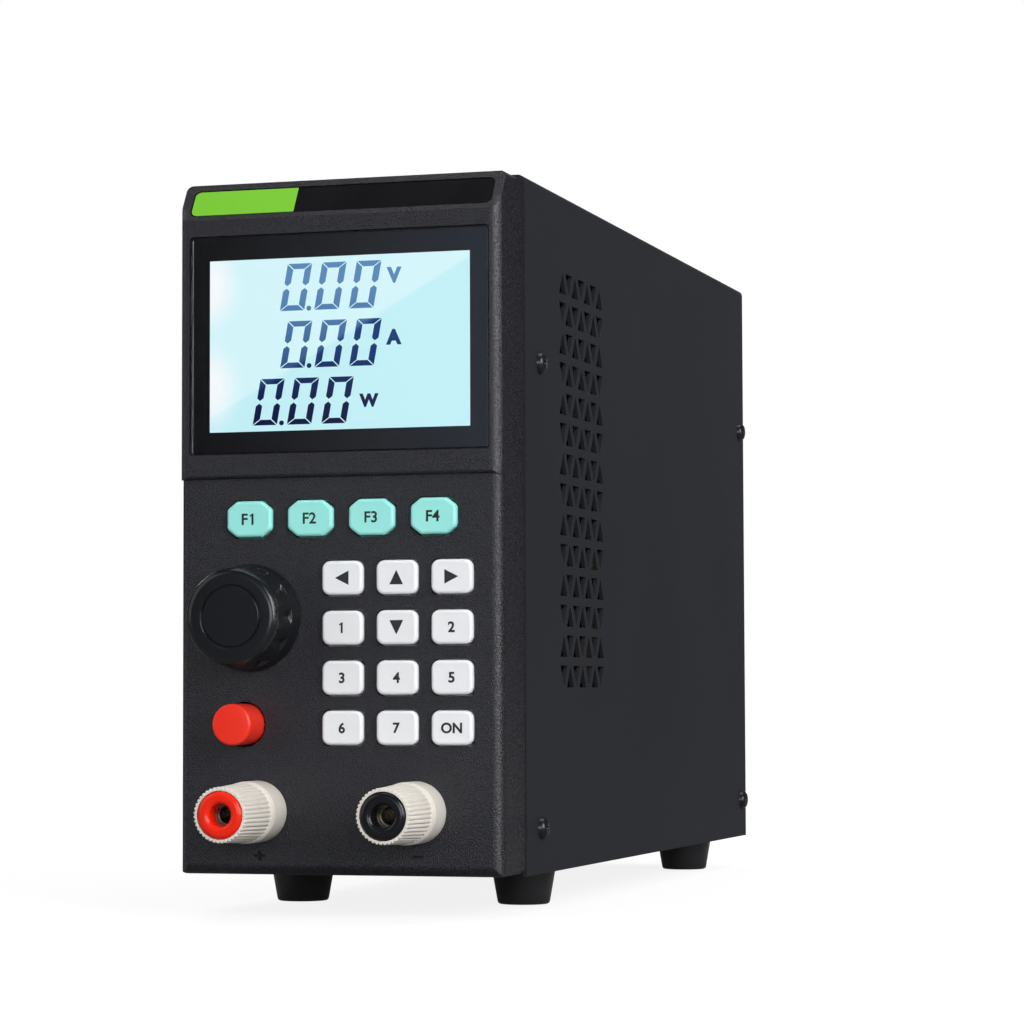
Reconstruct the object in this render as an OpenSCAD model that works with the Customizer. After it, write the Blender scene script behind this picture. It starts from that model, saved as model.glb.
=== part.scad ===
// Bench DC electronic load: a narrow steel case with a moulded front bezel that carries
// a lit display, push keys, a rotary knob, a power button and two binding posts.
// Modelled with the display face at Y = 0 and the underside at Z = 0, then seated so that the
// origin is at the middle of the footprint on the bench: +X right, +Y to the rear, +Z up.

/* [Case] */
// Width over the cover's two sides
case_w = 75.5; // [74:0.5:78]
// Depth from the display face to the cover's rear edge
case_d = 240; // [236:1:260]
// Height of the cover, without the feet
case_h = 155.5; // [154:0.5:160]
// Thickness of the cover sheet
sheet = 1; // [0.8:0.1:1.1]
// Outer radius of the cover's top bends
bend_r = 1.6; // [1.4:0.1:2.5]
// Thickness of the base and rear panel sheet
plate = 1.2; // [1:0.1:1.4]
// How far the cover's sides hang below the base plate
skirt = 0.4; // [0:0.1:1]

/* [Feet] */
// Height of a foot
foot_h = 8.5; // [7.5:0.5:12]
// Radius of a foot where it meets the base
foot_top_r = 7.4; // [6.8:0.1:8]
// Radius of a foot where it meets the bench
foot_low_r = 6; // [5.5:0.1:6.6]
// Half the distance between the left and right feet
foot_x = 27.1; // [25:0.1:28]
// Depth of the front pair of feet
foot_front_y = 52; // [45:1:60]
// Depth of the rear pair of feet
foot_rear_y = 209; // [200:1:215]

/* [Vents] */
// Rows of triangular vents on each side
vent_rows = 14; // [6:1:14]
// Triangles in a row
vent_cols = 7; // [3:1:9]
// Height of a triangle
vent_h = 5; // [4:0.1:5.4]
// Distance from row to row
vent_pitch_z = 7; // [6.6:0.1:7.2]
// Distance from one upright triangle to the next
vent_pitch_y = 10.8; // [10:0.1:11.5]
// Depth of the vents' front edge
vent_y = 46.5; // [44:0.5:60]
// Height of the vents' top edge
vent_top = 137.3; // [130:0.1:140]

/* [Bezel] */
// Depth of the moulded front bezel
bezel_d = 18.4; // [18:0.1:20]
// How far the bezel stands in from the cover's faces
bezel_in = 0.2; // [0.2:0.1:0.5]
// How far the bezel's top stands below the cover's
bezel_drop = 1.1; // [0.5:0.1:1.2]
// Wall thickness of the bezel
wall = 2.5; // [2.2:0.1:2.7]
// Corner radius of the bezel seen from the front
corner_r = 1.4; // [1.2:0.1:4]
// Radius of the front edges
edge_r = 2.4; // [1.2:0.1:2.4]
// How far the key section stands back from the display section
step_d = 1.1; // [0.8:0.1:1.5]
// Height of the step between the two sections
step_z = 87.7; // [86:0.1:90]
// Height where the sloped top facet starts
slope_z = 145.6; // [144.5:0.1:147]
// Depth of the sloped facet at the top
slope_d = 5.4; // [4.5:0.1:6]

/* [Label strip] */
// Length of the glossy strip on the sloped facet
strip_w = 70.5; // [66:0.5:72]
// Height of the strip along the slope
strip_h = 7.1; // [6:0.1:7.4]
// Length of the green end of the strip
tab_w = 24.4; // [15:0.1:30]

/* [Display] */
// Width of the window glass
glass_w = 69.4; // [66:0.1:70]
// Height of the window glass
glass_h = 48.4; // [46:0.1:49]
// Height of the window's middle
glass_z = 117.5; // [117:0.1:118]
// Thickness of the window glass
glass_t = 1.2; // [1:0.1:1.4]
// Width of the lit cell
cell_w = 63; // [61:0.5:63.5]
// Height of the lit cell
cell_h = 41; // [39:0.5:41.5]

/* [Keys] */
// Width of a white key
key_w = 9.4; // [8.5:0.1:9.6]
// Height of a white key
key_h = 7.5; // [6.8:0.1:7.8]
// Distance between key columns
key_pitch_x = 12.6; // [12.4:0.1:12.7]
// Distance between key rows
key_pitch_z = 10.95; // [10.6:0.05:11]
// Middle of the white key block, across
key_mid_x = 13.7; // [13:0.1:14]
// Middle of the white key block, up
key_mid_z = 48.9; // [48:0.1:49.5]
// Width of a cyan key
mode_w = 10.5; // [9.5:0.1:10.8]
// Height of a cyan key
mode_h = 8; // [7.4:0.1:8.2]
// Distance between cyan keys
mode_pitch = 14.28; // [14:0.02:14.5]
// Middle of the cyan row, across
mode_mid_x = 0.7; // [-1:0.1:1.5]
// Height of the cyan row
mode_z = 78.6; // [78:0.1:79]
// How far the keys stand out of the panel
key_proud = 1.2; // [1:0.1:1.6]
// Travel of a key
key_travel = 0.6; // [0.3:0.1:0.8]

/* [Knob and power button] */
// Knob's place across the panel
knob_x = -20.7; // [-22:0.1:-20]
// Knob's height
knob_z = 56.8; // [55:0.1:58]
// Radius of the knob's skirt
knob_r = 11.9; // [11:0.1:12]
// How far the knob's face stands out of the panel
knob_proud = 12.3; // [11.5:0.1:14]
// Finger flutes round the knob
knob_flutes = 11; // [8:1:16]
// Power button's place across the panel
button_x = -22.1; // [-23:0.1:-20]
// Power button's height
button_z = 33.3; // [32:0.1:34]
// Radius of the power button
button_r = 4.55; // [4:0.05:5]
// How far the power button stands out of the panel
button_proud = 8.3; // [7:0.1:9]
// Travel of the power button
button_travel = 3; // [2:0.1:3]

/* [Binding posts] */
// Distance between the two posts
post_gap = 36.8; // [36:0.1:38]
// Sideways offset of the pair
post_shift = -0.5; // [-1:0.1:0.5]
// Height of the posts
post_z = 14.1; // [13.5:0.1:15]
// Radius of the fixed collar
collar_r = 6.8; // [6.4:0.1:7]
// Length of the fixed collar
collar_l = 7.8; // [7:0.1:8.5]
// How far a post stands out of the panel
post_proud = 23.3; // [22.5:0.1:24.5]
// Radius of the 4 mm plug socket
socket_r = 2; // [2:0.01:2.02]
// Ridges round a grip
grip_ridges = 40; // [24:2:48]

/* [Hidden] */
$fn = 64;
slack = 0.3;
cut = 1;

inner_x = case_w / 2 - sheet;
bezel_x = case_w / 2 - bezel_in;
bezel_low = bezel_in;
bezel_top = case_h - bezel_drop;
panel_y = step_d;
inside_y = panel_y + wall;
board_inset = 3.9;
board_y = bezel_d - board_inset;
board_t = 1.6;
board_x = 33;
board_low = 20.5;
board_top = 146;
boss_places = [[-31, 24], [31, 24], [-30.5, 91.5], [30.5, 91.5]];
boss_r = 2.6;
boss_screw_r = 1.1;
slope_a = atan(slope_d / (bezel_top - slope_z));
slope_l = norm([slope_d, bezel_top - slope_z]);
strip_t = 0.4;
strip_at = 0.48;
strip_sink = 0.6;
strip_r = 1.4;
tab_t = 0.15;
window_r = 0.6;

rear_inset = 0.8;
rear_y = case_d - rear_inset;
port_reach = 5.8;
post_front = panel_y - post_proud;
mid_y = (rear_y + port_reach + post_front) / 2;

screw_zs = [9.8, 114.3];
screw_front_y = 30;
screw_rear_inset = 5.7;
screw_rear_y = case_d - screw_rear_inset;
screw_head_r = 2.5;
screw_head_h = 1.7;
screw_r = 1.4;
screw_l = 6;
foot_seat = 3.5;
foot_recess_r = 3.2;

key_front = panel_y - key_proud;
key_back = inside_y + slack;
key_flange = 0.9;
key_flange_t = 1;
stem_r = 1.6;
stem_end = 9.5;
switch_y = 9.2;
key_r = 1.35;
mode_cut_x = 2.3;
mode_cut_z = 1.8;
key_cols = [-1, 0, 1];
key_rows = [1.5, 0.5, -0.5, -1.5];
mode_cols = [-1.5, -0.5, 0.5, 1.5];
key_places = [for (r = key_rows) for (c = key_cols)
    [key_mid_x + c * key_pitch_x, key_mid_z + r * key_pitch_z]];
mode_places = [for (c = mode_cols) [mode_mid_x + c * mode_pitch, mode_z]];

knob_gap = 0.5;
knob_back = panel_y - knob_gap;
knob_front = panel_y - knob_proud;
knob_taper = 0.9;
knob_top_r = knob_r - knob_taper;
shaft_r = 3;
shaft_flat = 2.2;
bush_r = 3.5;
bush_front = -1.5;
bush_gap = 0.15;
encoder_y = 8;
run_gap = 0.05;
button_back = 4.6;
button_gap = 0.45;
button_stem_r = 1.7;
power_switch_y = 8;

post_xs = [post_shift - post_gap / 2, post_shift + post_gap / 2];
stud_r = 3;
stud_sink = 5.4;
stud_front = post_front + stud_sink;
stud_back = 16;
socket_l = 15;
neck_r = 4;
neck_gap = 0.1;
core_r = 5.2;
core_tail_r = 4.4;
core_hole_r = 2.45;
core_head_l = 4.2;
grip_sink = 0.5;
grip_front = post_front + grip_sink;
grip_gap = 0.1;
grip_back = panel_y - collar_l - grip_gap;
grip_r = 6.7;
grip_nose_r = 6;

fan_w = 60;
fan_d = 25;
fan_z = 107;
fan_duct_r = 28.5;
fan_hole = 25;
fan_rotor_r = 27.4;
fan_hub_r = 14;
fan_blades = 7;
fan_rear = rear_y - plate;
fan_front = fan_rear - fan_d;
fan_shaft_r = 1.5;
fan_screw_r = 2;
fan_screw_gap = 0.15;
wire_r = 0.8;
guard_rings = [8, 14, 20, 26];

inlet_x = 13;
inlet_low = 12;
inlet_top = 55;
inlet_depth = 21;
inlet_lip = 2.2;
inlet_z = 42;
inlet_w = 24;
inlet_h = 16.4;
inlet_cavity = 17;
drawer_w = 18;
drawer_h = 10;
drawer_z = 19;
drawer_l = 18;
port_z = 65;
port_w = 16.8;
port_h = 8.4;

main_z = 58;
main_x = 33;
main_front = 36;
main_rear = 208;
header_y = 50;
header_h = 1.5;
ribbon_x = 14;
sink_low = 76;
sink_x = 29;
sink_front = 112;
sink_rear = 208;
post_stand = [for (x = [-26, 26]) for (y = [118, 202]) [x, y]];
stand_pin_r = 2;
lead_r = 1.8;
lead_bend = 6;
stack_x = 27;
stack_top = 46.2;
stack_front = 160;
stack_rear = 184;
limb = 9;

// Seats the model on the bench with the origin under its middle
module seat() {
    translate([0, -mid_y, foot_h]) children();
}

// Turns a shape drawn in X and Y to stand in X and Z, its height running forward
module facing(x, y, z) {
    translate([x, y, z]) rotate([90, 0, 0]) children();
}

// The same with the height running to the rear
module backing(x, y, z) {
    translate([x, y, z]) rotate([90, 0, 0]) mirror([0, 0, 1]) children();
}

module block(low, high) {
    translate(low) cube(high - low);
}

module round_rect(w, h, r) {
    square([w - 2 * r, h], center = true);
    square([w, h - 2 * r], center = true);
    for (x = [-1, 1], y = [-1, 1]) {
        translate([x * (w / 2 - r), y * (h / 2 - r)]) circle(r);
    }
}

// Rectangle with its four corners cut off
module cut_rect(w, h, cx, cy) {
    polygon([[w / 2 - cx, h / 2], [cx - w / 2, h / 2], [-w / 2, h / 2 - cy], [-w / 2, cy - h / 2],
             [cx - w / 2, -h / 2], [w / 2 - cx, -h / 2], [w / 2, cy - h / 2], [w / 2, h / 2 - cy]]);
}

// Round body standing on its base, with a rounded upper rim
module rimmed(r, h, e) {
    rotate_extrude() {
        square([r - e, h]);
        square([r, h - e]);
        translate([r - e, h - e]) circle(e);
    }
}

module tube(outer, inner, h) {
    difference() {
        cylinder(r = outer, h = h);
        translate([0, 0, -cut]) cylinder(r = inner, h = h + 2 * cut);
    }
}

// Pan head screw: the head above its seat, the shank below it
module pan_screw(head_r, head_h, shank_r, shank_l) {
    dome = head_h * 0.45;
    slot_w = head_r * 0.28;
    slot_l = head_r * 1.15;
    slot_floor = head_h * 0.45;
    difference() {
        rimmed(head_r, head_h, dome);
        for (a = [0, 90]) {
            rotate(a) translate([-slot_l / 2, -slot_w / 2, slot_floor]) cube([slot_l, slot_w, head_h]);
        }
    }
    translate([0, 0, -shank_l]) cylinder(r = shank_r, h = shank_l + slot_floor / 2);
}

// Places a child at each cover screw, its height pointing out of the side
module at_side_screws() {
    for (side = [-1, 1], y = [screw_front_y, screw_rear_y], z = screw_zs) {
        translate([side * case_w / 2, y, z]) rotate([0, side * 90, 0]) children();
    }
}

module at_feet() {
    for (x = [-foot_x, foot_x], y = [foot_front_y, foot_rear_y]) {
        translate([x, y, 0]) children();
    }
}

module at_fan_holes(y) {
    for (x = [-fan_hole, fan_hole], z = [-fan_hole, fan_hole]) {
        backing(x, y, fan_z + z) children();
    }
}

module at_board_bosses() {
    for (p = boss_places) {
        facing(p[0], board_y, p[1]) children();
    }
}

// Outline of a section from above: a block whose two front edges are rounded
module plan_outline(front) {
    w = 2 * bezel_x;
    translate([-bezel_x, front + edge_r]) square([w, bezel_d - front - edge_r]);
    translate([edge_r - bezel_x, front]) square([w - 2 * edge_r, bezel_d - front]);
    for (side = [-1, 1]) {
        translate([side * (bezel_x - edge_r), front + edge_r]) circle(edge_r);
    }
}

// Side profile of the bezel with the low step, the sloped top and the rounded lower edge
module side_profile() {
    lip_r = 0.8;
    high = 2 * bezel_top - slope_z;
    difference() {
        union() {
            translate([panel_y + edge_r, bezel_low]) square([bezel_d - panel_y - edge_r, step_z]);
            translate([panel_y, bezel_low + edge_r]) square([bezel_d - panel_y, step_z - edge_r]);
            translate([panel_y + edge_r, bezel_low + edge_r]) circle(edge_r);
            translate([lip_r, step_z]) square([bezel_d - lip_r, bezel_top - step_z]);
            translate([0, step_z + lip_r]) square([bezel_d, bezel_top - step_z - lip_r]);
            translate([lip_r, step_z + lip_r]) circle(lip_r);
        }
        polygon([[0, slope_z], [2 * slope_d, high], [-cut, high], [-cut, slope_z]]);
    }
}

module bezel_body() {
    mid_z = (bezel_low + bezel_top) / 2;
    intersection() {
        facing(0, bezel_d + cut, mid_z)
            linear_extrude(bezel_d + 2 * cut) round_rect(2 * bezel_x, bezel_top - bezel_low, corner_r);
        rotate([90, 0, 90]) translate([0, 0, -bezel_x - cut])
            linear_extrude(2 * (bezel_x + cut)) side_profile();
        union() {
            linear_extrude(step_z + 0.4) plan_outline(panel_y);
            translate([0, 0, step_z]) linear_extrude(case_h) plan_outline(0);
        }
    }
}

module on_slope() {
    translate([0, 0, slope_z]) rotate([90 - slope_a, 0, 0])
        translate([0, slope_l * strip_at, 0]) children();
}

module key_outline(grow) {
    round_rect(key_w + 2 * grow, key_h + 2 * grow, key_r + grow);
}

module mode_outline(grow) {
    cut_rect(mode_w + 2 * grow, mode_h + 2 * grow, mode_cut_x, mode_cut_z);
}

module front_bezel() {
    ear_x = inner_x - slack;
    ear_t = 2.3;
    ear_lap = 4;
    ear_h = 7;
    ear_past = 5;
    thread_l = 7;
    color("#26262a") difference() {
        union() {
            difference() {
                bezel_body();
                block([wall - bezel_x, inside_y, bezel_low + wall],
                      [bezel_x - wall, bezel_d + cut, slope_z - wall]);
                block([wall - bezel_x, inside_y + slope_d, slope_z - 2 * wall],
                      [bezel_x - wall, bezel_d + cut, bezel_top - wall]);
            }
            for (side = [-1, 1], z = screw_zs) {
                block([side > 0 ? ear_x - ear_t : -ear_x, bezel_d - ear_lap, z - ear_h],
                      [side > 0 ? ear_x : ear_t - ear_x, screw_front_y + ear_past, z + ear_h]);
            }
            at_board_bosses() cylinder(r = boss_r, h = board_y - inside_y + cut / 2);
        }
        facing(0, glass_t + slack, glass_z)
            linear_extrude(glass_t + slack + cut)
                round_rect(glass_w + 2 * slack, glass_h + 2 * slack, window_r + slack);
        facing(0, inside_y + 2 * cut, glass_z)
            linear_extrude(inside_y + 3 * cut)
                square([cell_w + 2 * slack, cell_h + 2 * slack], center = true);
        on_slope() translate([0, 0, -strip_sink])
            linear_extrude(strip_sink + cut)
                round_rect(strip_w + slack, strip_h + slack, strip_r + slack / 2);
        for (p = key_places) {
            facing(p[0], inside_y + cut, p[1]) linear_extrude(wall + 2 * cut) key_outline(slack);
        }
        for (p = mode_places) {
            facing(p[0], inside_y + cut, p[1]) linear_extrude(wall + 2 * cut) mode_outline(slack);
        }
        facing(knob_x, inside_y + cut, knob_z) cylinder(r = bush_r + bush_gap, h = wall + 2 * cut);
        facing(button_x, inside_y + cut, button_z) cylinder(r = button_r + button_gap, h = wall + 2 * cut);
        for (x = post_xs) {
            facing(x, inside_y + cut, post_z) cylinder(r = neck_r + neck_gap, h = wall + 2 * cut);
        }
        at_side_screws() translate([0, 0, -screw_l - cut]) cylinder(r = screw_r, h = screw_l);
        at_board_bosses() translate([0, 0, -cut]) cylinder(r = boss_screw_r, h = thread_l);
    }
}

module label_strip() {
    color("#101013") on_slope() translate([0, 0, -strip_sink])
        linear_extrude(strip_t) round_rect(strip_w, strip_h, strip_r);
}

module label_tab() {
    tab_h = strip_h - 0.3;
    low = 0.2 - strip_w / 2;
    color("#76cd32") on_slope() translate([0, 0, strip_t - strip_sink]) linear_extrude(tab_t) {
        intersection() {
            translate([low + strip_w / 2, 0]) round_rect(strip_w, tab_h, strip_r);
            translate([low, -tab_h / 2]) square([tab_w, tab_h]);
        }
    }
}

module display_window() {
    color("#1b1e26") facing(0, glass_t + slack, glass_z)
        linear_extrude(glass_t) round_rect(glass_w, glass_h, window_r);
}

module lcd_panel() {
    back_y = 9;
    rim_x = 33;
    rim_h = 44;
    color("#c4f3fa") {
        facing(0, back_y, glass_z)
            linear_extrude(back_y - glass_t - slack) square([cell_w, cell_h], center = true);
        facing(0, back_y, glass_z)
            linear_extrude(back_y - inside_y - slack) square([2 * rim_x, rim_h], center = true);
        for (x = [-1, 1], z = [-1, 1]) {
            facing(x * (rim_x - 3), board_y, glass_z + z * (rim_h / 2 - 3))
                cylinder(r = 1.5, h = board_y - back_y + cut);
        }
    }
}

module front_board() {
    color("#1f5a3a") difference() {
        block([-board_x, board_y, board_low], [board_x, board_y + board_t, board_top]);
        at_board_bosses() translate([0, 0, -board_t - cut])
            cylinder(r = boss_screw_r + slack, h = board_t + 2 * cut);
    }
}

module board_screws() {
    head_h = 1.5;
    shank_l = 5;
    color("#b8bbc0") at_board_bosses() translate([0, 0, -board_t]) mirror([0, 0, 1])
        pan_screw(2 * boss_screw_r, head_h, boss_screw_r, shank_l);
}

module key_switches() {
    body_w = 6.2;
    bore_l = key_travel + 1.2;
    color("#2a2a2d") for (p = concat(key_places, mode_places)) {
        facing(p[0], board_y, p[1]) difference() {
            linear_extrude(board_y - switch_y) round_rect(body_w, body_w, 0.6);
            translate([0, 0, board_y - switch_y - bore_l]) cylinder(r = stem_r + slack, h = bore_l + cut);
        }
    }
}

// Key cap with softly rounded face edges, its retaining flange and the stem to the switch
module key_body(place) {
    face_r = 0.7;
    facing(place[0], key_back, place[1]) {
        hull() {
            linear_extrude(key_back - key_front - face_r) children(0);
            linear_extrude(key_back - key_front - face_r * 0.35) children(1);
            linear_extrude(key_back - key_front) children(2);
        }
    }
    facing(place[0], key_back + key_flange_t, place[1]) linear_extrude(key_flange_t) children(3);
    facing(place[0], stem_end, place[1]) cylinder(r = stem_r, h = stem_end - key_back - key_flange_t / 2);
}

module white_key(place) {
    color("#ebeef0") key_body(place) {
        key_outline(0, $fn = 32);
        key_outline(-0.2, $fn = 32);
        key_outline(-0.7, $fn = 32);
        key_outline(key_flange);
    }
}

module mode_key(place) {
    color("#a0ebe1") key_body(place) {
        mode_outline(0);
        mode_outline(-0.2);
        mode_outline(-0.7);
        mode_outline(key_flange - 0.1);
    }
}

module encoder_body() {
    body_w = 12;
    facing_l = board_y - encoder_y;
    color("#8d9095") facing(knob_x, board_y, knob_z) difference() {
        union() {
            linear_extrude(facing_l) round_rect(body_w, body_w, 0.5);
            cylinder(r = bush_r, h = board_y - bush_front);
        }
        translate([0, 0, 1]) cylinder(r = shaft_r + run_gap, h = board_y - bush_front + cut);
    }
}

// Round shaft whose front half is cut to a D
module d_shaft(front) {
    back_y = board_y - 1.4;
    flat_y = -2.5;
    facing(knob_x, back_y, knob_z) cylinder(r = shaft_r, h = back_y - flat_y);
    facing(knob_x, flat_y, knob_z) difference() {
        cylinder(r = shaft_r, h = flat_y - front);
        translate([-shaft_r, shaft_flat, -cut]) cube([2 * shaft_r, shaft_r, flat_y - front + 2 * cut]);
    }
}

module encoder_shaft() {
    color("#b5b8bc") d_shaft(knob_front + 3);
}

module knob() {
    h = knob_back - knob_front;
    rim = 1.8;
    skirt_h = 1.7;
    skirt_edge = 0.3;
    flare = 1.6;
    draft = 0.5;
    flute_r = 2.4;
    flute_deep = 0.3;
    flute_start = 1.9;
    flute_stop = 1;
    flute_at = knob_top_r + flute_r - flute_deep;
    flute_low = skirt_h + flute_start;
    flute_l = h - rim - flute_stop - flute_low;
    ring_r = 7.2;
    ring_w = 0.5;
    hollow_r = bush_r + 0.9;
    hollow_l = knob_back - bush_front + 0.7;
    color("#141416") difference() {
        facing(knob_x, knob_back, knob_z) difference() {
            rotate_extrude() {
                polygon([[0, 0], [knob_r - skirt_edge, 0], [knob_r, skirt_edge], [knob_r, skirt_h],
                         [knob_top_r + draft, skirt_h + flare], [knob_top_r, h - rim], [knob_top_r - rim, h],
                         [0, h]]);
                translate([knob_top_r - rim, h - rim]) circle(rim);
            }
            for (i = [0 : knob_flutes - 1]) {
                rotate(i * 360 / knob_flutes) translate([flute_at, 0, flute_low]) {
                    cylinder(r = flute_r, h = flute_l);
                    translate([0, 0, flute_l]) sphere(flute_r);
                }
            }
            translate([0, 0, h - ring_w]) tube(ring_r, ring_r - ring_w, 2 * ring_w);
            translate([0, 0, -cut]) cylinder(r = hollow_r, h = cut + hollow_l);
        }
        d_shaft(knob_front + 3);
    }
}

module power_switch() {
    body_w = 9;
    body_l = board_y - power_switch_y;
    bore_l = button_travel + 1.2;
    color("#35353a") facing(button_x, board_y, button_z) difference() {
        linear_extrude(body_l) round_rect(body_w, body_w, 0.5);
        translate([0, 0, body_l - bore_l]) cylinder(r = button_stem_r + slack, h = bore_l + cut);
    }
}

module power_button() {
    stem_tip = power_switch_y + slack;
    cap_l = button_back - panel_y + button_proud;
    edge = 0.6;
    color("#e83a2a") {
        facing(button_x, button_back, button_z) rimmed(button_r, cap_l, edge);
        facing(button_x, stem_tip, button_z) cylinder(r = button_stem_r, h = stem_tip - button_back + cut);
    }
}

module post_collars() {
    edge = 0.8;
    color("#d7d2cb") for (x = post_xs) {
        difference() {
            union() {
                facing(x, panel_y, post_z) rimmed(collar_r, collar_l, edge);
                facing(x, inside_y, post_z) cylinder(r = neck_r, h = wall + cut);
            }
            facing(x, inside_y + cut, post_z) cylinder(r = stud_r, h = collar_l + wall + 2 * cut);
        }
    }
}

module stud(x) {
    color("#c9a64a") difference() {
        facing(x, stud_back, post_z) cylinder(r = stud_r, h = stud_back - stud_front);
        facing(x, stud_front + socket_l, post_z) cylinder(r = socket_r, h = socket_l + cut);
    }
}

// Coloured core that screws along the stud: a face ring with the plug hole, and a threaded tail
module core(x, paint) {
    length = grip_back - post_front;
    edge = 0.9;
    bore_l = grip_back - stud_front + 0.4;
    color(paint) facing(x, grip_back, post_z) difference() {
        union() {
            cylinder(r = core_tail_r, h = length - core_head_l + cut);
            translate([0, 0, length - core_head_l]) rimmed(core_r, core_head_l, edge);
        }
        translate([0, 0, -cut]) cylinder(r = stud_r + run_gap, h = bore_l + cut);
        cylinder(r = core_hole_r, h = length + cut);
    }
}

// Ridged outline of a grip
module ridge_outline(r) {
    step = 180 / grip_ridges;
    depth = 0.32;
    polygon([for (i = [0 : 2 * grip_ridges - 1])
        (r - (i % 2) * depth) * [cos(i * step), sin(i * step)]]);
}

// Waisted grip, ridged along its length up to a smooth rear rim
module grip(x) {
    length = grip_back - grip_front;
    head = core_head_l - (grip_front - post_front);
    rim = 1.2;
    edge = 0.6;
    ridge_r = 0.22;
    ridge_in = 0.25;
    color("#d7d2cb") facing(x, grip_back, post_z) difference() {
        union() {
            rotate_extrude() {
                square([grip_r - edge, rim]);
                translate([0, edge]) square([grip_r, rim - edge]);
                translate([grip_r - edge, edge]) circle(edge);
            }
            intersection() {
                translate([0, 0, rim - 0.2])
                    linear_extrude(length - rim + 0.2) ridge_outline(grip_r + 0.15);
                rotate_extrude() polygon([[0, 0], [grip_r, 0], [grip_r, length * 0.3],
                    [grip_r - 0.15, length * 0.45], [grip_nose_r + 0.12, length * 0.72],
                    [grip_nose_r, length * 0.85], [grip_nose_r, length - 0.3],
                    [grip_nose_r - 0.3, length], [0, length]]);
            }
            for (i = [0 : grip_ridges - 1]) {
                rotate(i * 360 / grip_ridges) translate([grip_nose_r - ridge_in, 0, length * 0.6])
                    cylinder(r = ridge_r, h = length * 0.4 - ridge_in);
            }
        }
        translate([0, 0, -cut]) cylinder(r = core_tail_r + run_gap, h = length + 2 * cut);
        translate([0, 0, length - head - run_gap]) cylinder(r = core_r + run_gap, h = head + cut);
    }
}

module post_nuts() {
    nut_r = 5.6;
    nut_h = 4.4;
    color("#c9a64a") for (x = post_xs) {
        facing(x, inside_y + nut_h, post_z) difference() {
            cylinder(r = nut_r, h = nut_h, $fn = 6);
            translate([0, 0, -cut]) cylinder(r = stud_r, h = nut_h + 2 * cut);
        }
    }
}

module base_chassis() {
    lip_x = inner_x - slack / 2;
    lip_h = 14;
    lip_front = screw_front_y + 6;
    lip_rear = screw_rear_y - 8;
    color("#8f9296") difference() {
        union() {
            block([-lip_x, bezel_d + slack, 0], [lip_x, rear_y - plate, plate]);
            for (side = [-1, 1]) {
                block([side > 0 ? lip_x - plate : -lip_x, lip_front, 0],
                      [side > 0 ? lip_x : plate - lip_x, lip_rear, lip_h]);
            }
        }
        at_feet() translate([0, 0, -cut]) cylinder(r = screw_r, h = plate + 2 * cut);
    }
}

// Section of the cover: an inverted U with rounded bends, grown inward by t
module cover_section(t, low) {
    w = case_w - 2 * t;
    r = bend_r - t;
    translate([-w / 2, low]) square([w, case_h - t - r - low]);
    translate([r - w / 2, low]) square([w - 2 * r, case_h - t - low]);
    for (side = [-1, 1]) {
        translate([side * (w / 2 - r), case_h - t - r]) circle(r);
    }
}

// Field of triangles seen from the side: every other one stands on its point
module vent_field() {
    side_l = vent_h / sin(60);
    for (row = [0 : vent_rows - 1], col = [0 : vent_cols - 1]) {
        down = (row + col) % 2;
        middle = vent_y + side_l / 2 + col * vent_pitch_y / 2;
        top = vent_top - row * vent_pitch_z;
        foot = down ? top : top - vent_h;
        tip = down ? top - vent_h : top;
        polygon([[middle - side_l / 2, foot], [middle + side_l / 2, foot], [middle, tip]]);
    }
}

module top_cover() {
    cover_l = case_d - bezel_d;
    color("#2d2e32") difference() {
        facing(0, case_d, 0) linear_extrude(cover_l) difference() {
            cover_section(0, -skirt);
            cover_section(sheet, -skirt - cut);
        }
        rotate([90, 0, 90]) translate([0, 0, -case_w]) linear_extrude(2 * case_w) vent_field();
        at_side_screws() translate([0, 0, -2 * sheet]) cylinder(r = screw_r, h = 3 * sheet);
    }
}

module rear_panel() {
    edge_x = inner_x - slack / 2;
    flange_l = 12;
    color("#2d2e32") difference() {
        union() {
            block([-edge_x, rear_y - plate, 0], [edge_x, rear_y, case_h - sheet - slack / 2]);
            for (side = [-1, 1]) {
                block([side > 0 ? edge_x - plate : -edge_x, rear_y - flange_l, plate + slack],
                      [side > 0 ? edge_x : plate - edge_x, rear_y, case_h - 8]);
            }
        }
        backing(0, rear_y - plate - cut, fan_z) cylinder(r = fan_duct_r, h = plate + 2 * cut);
        at_fan_holes(rear_y - plate - cut) cylinder(r = fan_screw_r + fan_screw_gap, h = plate + 2 * cut);
        block([-inlet_x, rear_y - plate - cut, inlet_low], [inlet_x, rear_y + cut, inlet_top]);
        backing(0, rear_y - plate - cut, port_z) linear_extrude(plate + 2 * cut)
            square([port_w + slack, port_h + slack], center = true);
        at_side_screws() translate([0, 0, -screw_l]) cylinder(r = screw_r, h = screw_l);
    }
}

module feet() {
    recess = foot_h - foot_seat;
    color("#151517") at_feet() difference() {
        translate([0, 0, -foot_h]) cylinder(r1 = foot_low_r, r2 = foot_top_r, h = foot_h);
        translate([0, 0, -foot_h - cut]) cylinder(r = foot_recess_r, h = recess + cut);
        translate([0, 0, -foot_h]) cylinder(r = screw_r, h = foot_h + cut);
    }
}

module case_screws() {
    color("#18181a") {
        at_side_screws() pan_screw(screw_head_r, screw_head_h, screw_r, screw_l);
        at_feet() translate([0, 0, -foot_seat]) mirror([0, 0, 1])
            pan_screw(screw_head_r, screw_head_h, screw_r, screw_l);
    }
}

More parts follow.
